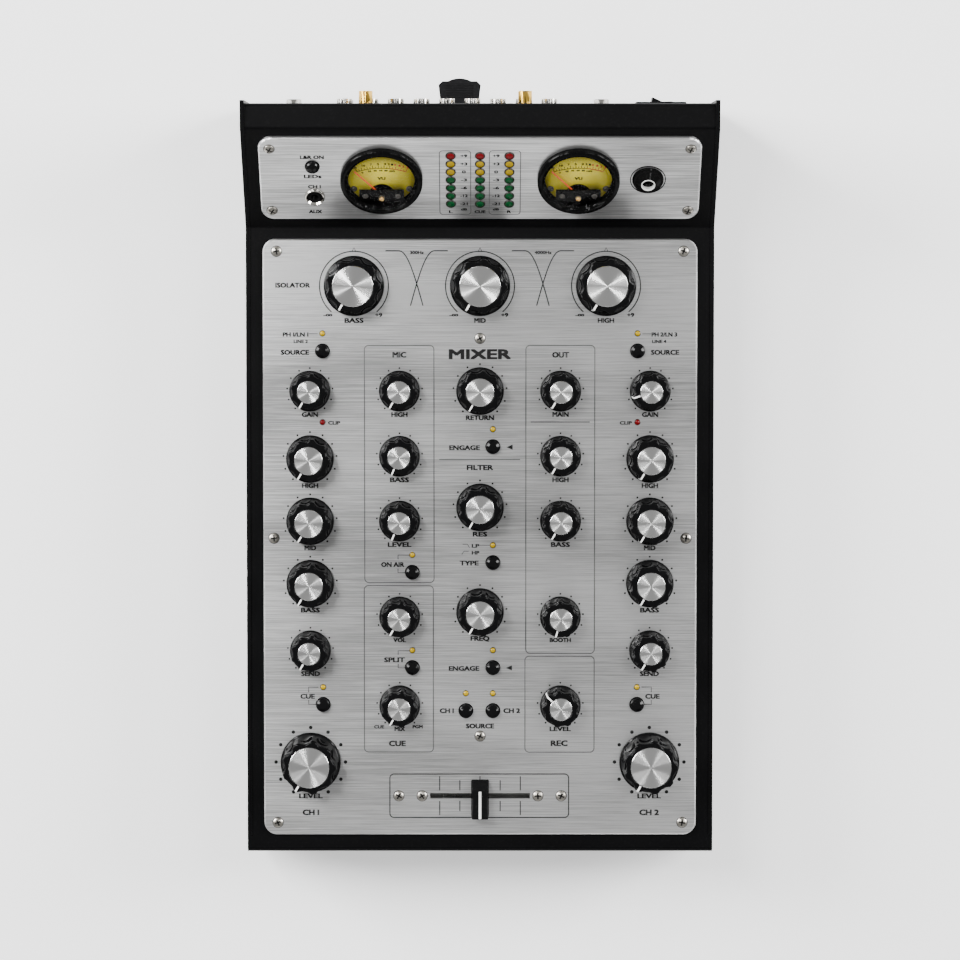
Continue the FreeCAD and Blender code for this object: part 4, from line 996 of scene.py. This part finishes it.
def make_screw():
    """A pan head with a cross recess, standing on the plate at the origin, and its shank."""
    crown = [(HEAD_RADIUS * math.cos(math.radians(a)), 0.35 + (HEAD_HIGH - 0.35) * math.sin(math.radians(a)))
             for a in (0, 20, 40, 58, 72, 84)]
    head = lathe("screw", [(1.5, -6), (1.5, 0), (HEAD_RADIUS, 0.01)] + crown, 40)
    arms = []
    for turn in (0, 90):
        bpy.ops.mesh.primitive_cube_add(size=1)
        arm = bpy.context.object
        cross_turn = Matrix.Rotation(math.radians(turn + RECESS_TURN), 4, "Z")
        arm.data.transform(cross_turn @ Matrix.Diagonal((3.7 * MM, 0.95 * MM, 2 * MM, 1)))
        arm.data.transform(Matrix.Translation((0, 0, (HEAD_HIGH + 0.15) * MM)))
        arms.append(arm)
    for arm in arms:
        recess = head.modifiers.new("recess", "BOOLEAN")
        recess.operation = "DIFFERENCE"
        recess.object = arm
        pick(head)
        bpy.ops.object.modifier_apply(modifier="recess")
        bpy.data.objects.remove(arm)
    return head


def make_recess_shade():
    """Painted shade: a dark floor in a screw's cross recess, and a dark ring on the plate round its head."""
    bars = [ring("gap", [(HEAD_RADIUS - 0.1, 0.0), (HEAD_RADIUS + 0.3, 0.0), (HEAD_RADIUS + 0.3, 0.05),
                         (HEAD_RADIUS - 0.1, 0.06)], 32)]
    for turn in (0, 90):
        bpy.ops.mesh.primitive_cube_add(size=1)
        bar = bpy.context.object
        cross_turn = Matrix.Rotation(math.radians(turn + RECESS_TURN), 4, "Z")
        bar.data.transform(cross_turn @ Matrix.Diagonal((3.6 * MM, 0.9 * MM, 0.3 * MM, 1)))
        bar.data.transform(Matrix.Translation((0, 0, (HEAD_HIGH - 0.75) * MM)))
        bars.append(bar)
    pick(*bars)
    bpy.ops.object.join()
    return bpy.context.object


screw, recess = make_screw(), make_recess_shade()
plate_screws, slope_screws, recess_shades = [], [], []
for fastener in loose_parts("fasteners"):
    place = middle(fastener)
    if place.y < deck_end_y:
        spot = on_deck(place.x / MM, (place.y - FRONT) / MM)
        turn = Matrix.Rotation(place.x * 90 + place.y * 70, 3, "Z")
        screws = plate_screws
    else:
        up = (SLOPE_TURN.transposed() @ (place - FOLD)).y / MM
        spot = on_slope(place.x / MM, up, PLATE_THICK)
        turn = SLOPE_TURN @ Matrix.Rotation(place.x * 50, 3, "Z")
        screws = slope_screws
    for pattern_piece, group in ((screw, screws), (recess, recess_shades)):
        piece = copy_of(pattern_piece)
        set_down(piece, spot, turn)
        group.append(piece)
    bpy.data.objects.remove(fastener)
bpy.data.objects.remove(screw)
bpy.data.objects.remove(recess)
join_up("deck_screws", plate_screws, screw_steel, "case", "bright_steel", "fasteners", smooth=30)
join_up("slope_screws", slope_screws, screw_steel, "case", "bright_steel", "fasteners", smooth=30)
# the painted shade in the recesses and round the heads, joined into one piece
join_up("screw_recess_shades", recess_shades, recess_shade_black, "case", "bright_steel")


# --- crossfader -----------------------------------------------------------------------------------
# A moulded black cap, wider at its foot and pinched at mid-length for the fingers, pressed on a steel lever
# that runs in the slot. A white line is inlaid along its top.

fader_black = finish_of(
    "fader_black", (0.004, 0.004, 0.0042, 1), (0.03, 0.03, 0.03, 1), 0.34, 0.5, dust=0.2, bump=0.25,
    fine=3000.0, specular=0.0, coat=0.08,
)
FADER_FOOT, FADER_TOP, FADER_HIGH, FADER_GAP = (4.9, 10.0), (4.45, 7.9), 14.0, 0.8
FADER_FORWARD = (0.8, 2.9)
FADER_DISH, FADER_PINCH = 0.7, 0.75
fader_x, fader_row, _ = middle_of("crossfader_cap")

bpy.ops.mesh.primitive_cube_add(size=1)
cap = bpy.context.object
bpy.ops.object.mode_set(mode="EDIT")
bpy.ops.mesh.select_all(action="SELECT")
bpy.ops.mesh.subdivide(number_cuts=9)
bpy.ops.object.mode_set(mode="OBJECT")
for vertex in cap.data.vertices:
    u, v, w = vertex.co.x * 2, vertex.co.y * 2, vertex.co.z + 0.5
    half_wide = FADER_FOOT[0] + (FADER_TOP[0] - FADER_FOOT[0]) * w
    half_long = FADER_FOOT[1] + (FADER_TOP[1] - FADER_FOOT[1]) * w
    pinch = FADER_PINCH * w * (1 - v * v)
    dish = FADER_DISH * (1 - v * v) * w
    forward = FADER_FORWARD[0] + (FADER_FORWARD[1] - FADER_FORWARD[0]) * w
    vertex.co = (u * (half_wide - pinch) * MM, (v * half_long - forward) * MM, (w * FADER_HIGH - dish) * MM)
soften = cap.modifiers.new("soften", "BEVEL")
soften.width = 0.55 * MM
soften.segments = 3
soften.limit_method = "ANGLE"
soften.angle_limit = math.radians(45)
pick(cap)
bpy.ops.object.modifier_apply(modifier="soften")
set_down(cap, on_deck(fader_x, fader_row, FADER_GAP))
join_up(
    "crossfader_moulding", [cap], fader_black, "crossfader_cap", "fader_plastic", "crossfader_cap", smooth=35
)

stripe_points = []
for i in range(13):
    v = -0.96 + 1.89 * i / 12
    stripe_points.append((v * FADER_TOP[1] - FADER_FORWARD[1], FADER_HIGH - FADER_DISH * (1 - v * v)))
bpy.ops.mesh.primitive_grid_add(x_subdivisions=1, y_subdivisions=12, size=1)
stripe = bpy.context.object
rows = sorted({round(vertex.co.y, 4) for vertex in stripe.data.vertices})
for vertex in stripe.data.vertices:
    y, z = stripe_points[rows.index(round(vertex.co.y, 4))]
    vertex.co = (math.copysign(0.65, vertex.co.x) * MM, y * MM, (z + 0.02) * MM)
thicken = stripe.modifiers.new("inlay", "SOLIDIFY")
thicken.thickness = 0.2 * MM
thicken.offset = 0
pick(stripe)
bpy.ops.object.modifier_apply(modifier="inlay")
set_down(stripe, on_deck(fader_x, fader_row, FADER_GAP))
join_up("crossfader_line", [stripe], pointer_white, "crossfader_cap", "fader_plastic", smooth=40)

bpy.ops.mesh.primitive_cube_add(size=1)
lever = bpy.context.object
lever.data.transform(Matrix.Diagonal((4 * MM, 1.6 * MM, 14.5 * MM, 1)))
edge = lever.modifiers.new("edge", "BEVEL")
edge.width = 0.2 * MM
pick(lever)
bpy.ops.object.modifier_apply(modifier="edge")
set_down(lever, on_deck(fader_x, fader_row, -0.3))
join_up("crossfader_lever", [lever], plated_steel, "crossfader_cap", "pot_metal", smooth=30)


# --- meters ---------------------------------------------------------------------------------------
# Two moving-coil meters behind clear windows. Each has a gloss black housing, a yellow tin dial printed in
# black and red, a domed coil cover, a bridge that carries the pivot, a black mask over its foot, and a
# red needle.

METERS = (("left", -52.7), ("right", 52.7))
METER_UP = 36.0
DIAL_OUT = 1.0
SCALE_RADIUS, SCALE_CENTRE = 36.0, -28.9
SCALE_HALF_ANGLE, RED_FROM = 21.2, 7.4

meter_black = finish_of(
    "meter_black", (0.002, 0.002, 0.002, 1), (0.02, 0.02, 0.02, 1), 0.12, 0.2, dust=0.08, specular=0.0,
    coat=0.16,
)
dial_yellow = finish_of("dial_yellow", (0.86, 0.72, 0.05, 1), (0.6, 0.48, 0.04, 1), 0.42, 0.55, dust=0.5)
dial_red = plain_material("dial_red", (0.55, 0.05, 0.02, 1), 0.5)
needle_red = finish_of("needle_red", (0.80, 0.10, 0.02, 1), (0.6, 0.1, 0.03, 1), 0.35, 0.5, dust=0.2)
brass = finish_of("brass", (0.80, 0.52, 0.20, 1), (0.5, 0.32, 0.12, 1), 0.2, 0.34, 1.0, dust=0.3)
dull_steel = finish_of(
    "dull_steel", (0.12, 0.115, 0.105, 1), (0.07, 0.065, 0.06, 1), 0.35, 0.5, 1.0, dust=0.5
)
clear_window = plain_material("clear_window", (0, 0, 0, 1), 0.03)
clear_window.node_tree.nodes["Principled BSDF"].inputs["Alpha"].default_value = 0.05
clear_window.node_tree.nodes["Principled BSDF"].inputs["Specular IOR Level"].default_value = 0.4


def slope_box(piece):
    """The lowest and highest corners of a piece along the slope's own axes, in millimetres."""
    corners = [SLOPE_TURN.transposed() @ (vertex.co - FOLD) / MM for vertex in piece.data.vertices]
    low = Vector([min(c[i] for c in corners) for i in range(3)])
    high = Vector([max(c[i] for c in corners) for i in range(3)])
    return low, high


for part in loose_parts("vu_meters"):
    low, high = slope_box(part)
    size = high - low
    if size.z > 10:
        kind = "housing"
    elif size.x > 30 and size.y > 30:
        kind = "dial"
    elif size.x > 20 and high.y < METER_UP - 12:
        kind = "mask"
    elif size.x > 18:
        kind = "bridge"
    else:
        kind = "cover"
    side = "left" if (low.x + high.x) < 0 else "right"
    material = dial_yellow if kind == "dial" else meter_black
    join_up(f"meter_{side}_{kind}", [part], material, "case", "meter_plastic", "vu_meters", smooth=35)


def scale_point(angle, radius):
    """A point on the dial, by its angle right of straight up round the scale's centre."""
    turn = math.radians(angle)
    return radius * math.sin(turn), SCALE_CENTRE + radius * math.cos(turn)


# each figure on the dial, and how far right of straight up it stands, in degrees
LEVEL_FIGURES = ((-21, "20"), (-14, "10"), (-8, "7"), (-2.5, "5"), (3, "3"), (6, "2"), (8.6, "1"), (11, "0"),
                 (14.5, "1"), (17.6, "2"), (21, "3"))
PERCENT_FIGURES = ((-17, "0"), (-10.5, "20"), (-5.5, "40"), (-0.5, "60"), (4.2, "80"), (9.6, "100%"))


def dial_print(side, middle_x):
    """One dial's arcs, strokes, figures and the letters on its face."""
    black, red = [], []
    steps = [-SCALE_HALF_ANGLE + 2 * SCALE_HALF_ANGLE * i / 24 for i in range(25)]
    black.append(ruled_line([scale_point(a, SCALE_RADIUS) for a in steps if a <= RED_FROM + 0.1], 0.4))
    red.append(ruled_line([scale_point(a, SCALE_RADIUS) for a in steps if a >= RED_FROM - 1.6], 0.55))
    for i in range(19):
        angle = -SCALE_HALF_ANGLE + 2 * SCALE_HALF_ANGLE * i / 18
        tall = 2.0 if i % 2 == 0 else 1.2
        stroke = ruled_line([scale_point(angle, SCALE_RADIUS), scale_point(angle, SCALE_RADIUS + tall)], 0.3)
        (red if angle > RED_FROM else black).append(stroke)
    for angle, words in LEVEL_FIGURES:
        figure = lettering(words, 1.35, 0.75 * len(words) + 0.2)
        figure.data.transform(Matrix.Translation(Vector((*scale_point(angle, SCALE_RADIUS + 3.1), 0)) * MM))
        (red if angle > RED_FROM + 2 else black).append(figure)
    for angle, words in PERCENT_FIGURES:
        figure = lettering(words, 1.1, 0.72 * len(words) + 0.2)
        figure.data.transform(Matrix.Translation(Vector((*scale_point(angle, SCALE_RADIUS - 1.5), 0)) * MM))
        black.append(figure)
    black.append(lettering("VU", 1.9, 4.0))
    for colour, pieces, material in (("black", black, print_black), ("red", red, dial_red)):
        for piece in pieces:
            set_down(piece, on_slope(middle_x, METER_UP, DIAL_OUT + PRINT_THICK / 2), SLOPE_TURN)
        join_up(f"dial_{side}_{colour}", pieces, material, "case", "meter_plastic")


def slotted_screw(radius, high):
    """A small cheese-head screw with one slot, standing at the origin."""
    outline_points = [(radius * 0.96, 0), (radius, 0.1), (radius, high - 0.25), (radius * 0.8, high)]
    head = lathe("cheese_head", outline_points, 28)
    bpy.ops.mesh.primitive_cube_add(size=1)
    blade = bpy.context.object
    blade.data.transform(Matrix.Diagonal((radius * 3 * MM, radius * 0.3 * MM, high * MM, 1)))
    blade.data.transform(Matrix.Translation((0, 0, high * 1.05 * MM)))
    slit = head.modifiers.new("slit", "BOOLEAN")
    slit.operation = "DIFFERENCE"
    slit.object = blade
    pick(head)
    bpy.ops.object.modifier_apply(modifier="slit")
    bpy.data.objects.remove(blade)
    return head


def put_on_meter(piece, middle_x, x, up, out, turn=0):
    """Stands a piece on a meter, from its own middle."""
    own_turn = Matrix.Rotation(math.radians(turn), 3, "Z")
    set_down(piece, on_slope(middle_x + x, METER_UP + up, out), SLOPE_TURN @ own_turn)


for side, middle_x in METERS:
    dial_print(side, middle_x)
    screws = []
    for x, turn in ((-14.9, 35), (14.9, -20)):
        screws.append(slotted_screw(1.75, 0.9))
        put_on_meter(screws[-1], middle_x, x, -7.1, DIAL_OUT, turn)
    for x, turn in ((-8.7, 70), (8.7, 15)):
        screws.append(slotted_screw(1.5, 0.7))
        put_on_meter(screws[-1], middle_x, x, -9.8, 4.1, turn)
    screws.append(lathe("pivot_collar", [(1.6, 0), (1.7, 0.1), (1.7, 0.5), (1.4, 0.7)], 32))
    put_on_meter(screws[-1], middle_x, 0, -11, 4.05)
    join_up(f"meter_{side}_screws", screws, dull_steel, "case", "bright_steel", smooth=30)
    pivot = slotted_screw(1.3, 1.2)
    put_on_meter(pivot, middle_x, 0, -11, 4.5, 50)
    join_up(f"meter_{side}_pivot", [pivot], brass, "case", "bright_steel", smooth=30)
    zero = slotted_screw(1.9, 0.5)
    put_on_meter(zero, middle_x, 0, -16, 2.95, 25)
    join_up(f"meter_{side}_zero_screw", [zero], meter_black, "case", "meter_plastic", smooth=30)
    recoat(f"vu_needle_{side}", needle_red)
recoat("vu_lenses", clear_window)


# --- jacks on the slope ---------------------------------------------------------------------------
# A 3.5 mm auxiliary jack in a chromed dish, and a 6.35 mm headphone jack in a black cone with a pale
# sleeve. Both are held from above by their nuts.

jack_black = finish_of(
    "jack_black", (0.003, 0.003, 0.003, 1), (0.03, 0.03, 0.03, 1), 0.22, 0.36, dust=0.15, specular=0.0,
    coat=0.08,
)
insulator_white = finish_of(
    "insulator_white", (0.72, 0.72, 0.70, 1), (0.3, 0.3, 0.29, 1), 0.3, 0.45, dust=0.3
)
nickel = finish_of("nickel", (0.62, 0.60, 0.56, 1), (0.3, 0.28, 0.25, 1), 0.12, 0.26, 1.0, dust=0.35)

# the auxiliary jack's body ends low in its dish
AUXILIARY_TOP = 2.35
rear_jacks = []
for part in loose_parts("jack_sockets"):
    place = middle(part)
    if place.y < on_slope(0, 60).y and place.z > 60 * MM:
        side = "auxiliary" if place.x < 0 else "headphone"
        for vertex in part.data.vertices:
            local = SLOPE_TURN.transposed() @ (vertex.co - FOLD) / MM
            if side == "auxiliary" and local.z > 3.5:
                local.z = AUXILIARY_TOP
                vertex.co = FOLD + SLOPE_TURN @ local * MM
        join_up(f"{side}_jack_body", [part], jack_black, "case", "socket_plastic", "jack_sockets", smooth=30)
    else:
        rear_jacks.append(part)
for name, (x, up), material, outline_points in (
    ("auxiliary_ring", AUXILIARY_JACK, nickel,
     [(3.9, 2.4), (4.9, 2.0), (5.5, 2.0), (5.5, 2.7), (5.1, 3.5), (4.7, 3.55)]),
    ("auxiliary_lip", AUXILIARY_JACK, jack_black,
     [(1.85, 2.2), (3.2, 2.2), (3.2, 2.5), (2.9, 2.8), (2.1, 2.8), (1.85, 2.6)]),
    ("headphone_ring", HEADPHONE_JACK, jack_black,
     [(9.1, 2.0), (9.6, 2.0), (9.6, 2.15), (9.5, 2.25), (9.2, 2.25), (9.1, 2.15)]),
    ("headphone_cone", HEADPHONE_JACK, jack_black,
     [(3.8, 2.0), (8.4, 2.0), (8.4, 2.6), (4.4, 6.6), (3.8, 6.7)]),
    ("headphone_sleeve", HEADPHONE_JACK, insulator_white,
     [(3.3, -9.0), (3.75, -9.0), (3.75, 6.7), (3.7, 6.95), (3.35, 6.95), (3.3, 6.7)]),
):
    piece = ring(name, outline_points)
    set_down(piece, on_slope(x, up), SLOPE_TURN)
    finish = "nickel_plate" if material is nickel else "socket_plastic"
    join_up(name, [piece], material, "case", finish, smooth=35)


# --- sockets on the rear panel --------------------------------------------------------------------
# Nine pairs of nickel phono sockets on dark insulating washers, two 6.35 mm output jacks with threaded ends,
# two gold-plated ground posts, and a three-pole microphone socket with a metal flange and a release tab.

gold = finish_of("gold", (0.88, 0.54, 0.10, 1), (0.5, 0.3, 0.07, 1), 0.14, 0.28, 1.0, dust=0.3)
socket_black = finish_of(
    "socket_black", (0.006, 0.006, 0.0065, 1), (0.03, 0.03, 0.03, 1), 0.34, 0.5, dust=0.25, bump=0.2,
    specular=0.06,
)
TO_REAR = Matrix.Rotation(math.radians(-90), 3, "X")
POSTS_ABOVE = 88
MICROPHONE_X, MICROPHONE_Z = -11.1, 27
POLE_CIRCLE = 5.2
OUTPUTS = (("left", -100.0), ("right", 65.2))
OUTPUT_Z = 71


def on_rear(x, z, out=0.0):
    """A point on the rear panel, from millimetres across, up and out of its face."""
    return Vector((x * MM, REAR_FACE + out * MM, z * MM))


barrels, washers, bodies_behind, posts = [], [], [], []
for part in loose_parts("line_sockets"):
    size = reach(part)
    if middle(part).z > POSTS_ABOVE * MM:
        posts.append(part)
    elif size.y < 1 * MM:
        washers.append(part)
    elif size.y < 8 * MM:
        barrels.append(part)
    else:
        bodies_behind.append(part)
REAR_FACE = min(min(vertex.co.y for vertex in part.data.vertices) for part in washers)
phono_places = [(middle(part).x / MM, middle(part).z / MM) for part in barrels]
join_up("phono_barrels", barrels, nickel, "case", "nickel_plate", "line_sockets", smooth=30)
join_up("phono_washers", washers, socket_black, "case", "socket_plastic", "line_sockets", smooth=30)
join_up("phono_bodies", bodies_behind, socket_black, "case", "socket_plastic", "line_sockets", smooth=30)
join_up("ground_posts", posts, gold, "case", "nickel_plate", "line_sockets", smooth=30)

beads, cores = [], []
bead = ring("bead", [(1.75, 0.8), (3.3, 0.8), (3.3, 4.0), (2.9, 4.35), (2.2, 4.35), (1.75, 4.0)], 40)
core = ring("core", [(1.3, 1.0), (1.62, 1.0), (1.62, 4.1), (1.5, 4.3), (1.35, 4.3), (1.3, 3.9)], 28)
for x, z in phono_places:
    for pattern_piece, group in ((bead, beads), (core, cores)):
        piece = copy_of(pattern_piece)
        set_down(piece, on_rear(x, z), TO_REAR)
        group.append(piece)
bpy.data.objects.remove(bead)
bpy.data.objects.remove(core)
join_up("phono_beads", beads, insulator_white, "case", "socket_plastic", smooth=35)
join_up("phono_contacts", cores, nickel, "case", "nickel_plate", smooth=35)

for number, part in enumerate(sorted(rear_jacks, key=lambda piece: (middle(piece).x, middle(piece).y))):
    size = reach(part)
    if size.x > 20 * MM:
        name, material, finish = "microphone_socket", socket_black, "socket_plastic"
    elif size.y < 10 * MM:
        name, material, finish = f"output_nut_{number}", nickel, "nickel_plate"
    else:
        name, material, finish = f"output_body_{number}", socket_black, "socket_plastic"
    join_up(name, [part], material, "case", finish, "jack_sockets", smooth=30)

face_ring = ring(
    "face_ring", [(10.6, 2.0), (12.4, 2.0), (12.4, 2.35), (12.1, 2.6), (10.9, 2.6), (10.6, 2.35)], 72
)
set_down(face_ring, on_rear(MICROPHONE_X, MICROPHONE_Z), TO_REAR)
join_up("microphone_face_ring", [face_ring], nickel, "case", "nickel_plate", smooth=35)
poles = []
for turn in (90, 210, 330):
    pole = lathe("pole", [(1.5, -11.5), (1.5, -11), (1.5, -10), (1.3, -8), (0.9, -7.4), (0.3, -7.2)], 24)
    x = MICROPHONE_X + POLE_CIRCLE * math.cos(math.radians(turn))
    z = MICROPHONE_Z + POLE_CIRCLE * math.sin(math.radians(turn))
    set_down(pole, on_rear(x, z), TO_REAR)
    poles.append(pole)
join_up("microphone_poles", poles, gold, "case", "nickel_plate", smooth=35)
for side, x in OUTPUTS:
    collar = ring("collar", [(3.3, 3.6), (3.9, 3.6), (3.9, 4.45), (3.8, 4.55), (3.4, 4.55), (3.3, 4.45)], 48)
    set_down(collar, on_rear(x, OUTPUT_Z), TO_REAR)
    join_up(f"output_sleeve_{side}", [collar], socket_black, "case", "socket_plastic", smooth=35)
recoat("microphone_release_tab", socket_black)


# --- mains inlet and switch -----------------------------------------------------------------------
# A moulded black inlet with three plated blades, clipped into the panel, and a gloss black rocker above it.

recoat("power_inlet", socket_black)
recoat("power_rocker", button_black)
inlet_low, inlet_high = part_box("power_inlet")
inlet_x, inlet_z = ((inlet_low[i] + inlet_high[i]) / 2 / MM for i in (0, 2))
BLADES_BELOW, BLADES_IN = 12, 9.7
blades = []
for x, z in ((-7, -2), (0, 2), (7, -2)):
    bpy.ops.mesh.primitive_cube_add(size=1)
    blade = bpy.context.object
    blade.data.transform(Matrix.Diagonal((2.1 * MM, 10.4 * MM, 4.1 * MM, 1)))
    soften = blade.modifiers.new("soften", "BEVEL")
    soften.width = 0.5 * MM
    soften.segments = 2
    pick(blade)
    bpy.ops.object.modifier_apply(modifier="soften")
    blade_z = inlet_z - BLADES_BELOW + z
    set_down(blade, Vector(((inlet_x + x) * MM, inlet_high[1] - BLADES_IN * MM, blade_z * MM)))
    blades.append(blade)
join_up("mains_blades", blades, plated_steel, "case", "bright_steel", smooth=35)


# --- feet -----------------------------------------------------------------------------------------
# Four black rubber feet, pressed into the base pan.

rubber = finish_of(
    "rubber", (0.012, 0.012, 0.012, 1), (0.07, 0.07, 0.065, 1), 0.7, 0.85, dust=0.6, bump=0.3
)
recoat("rubber_feet", rubber)
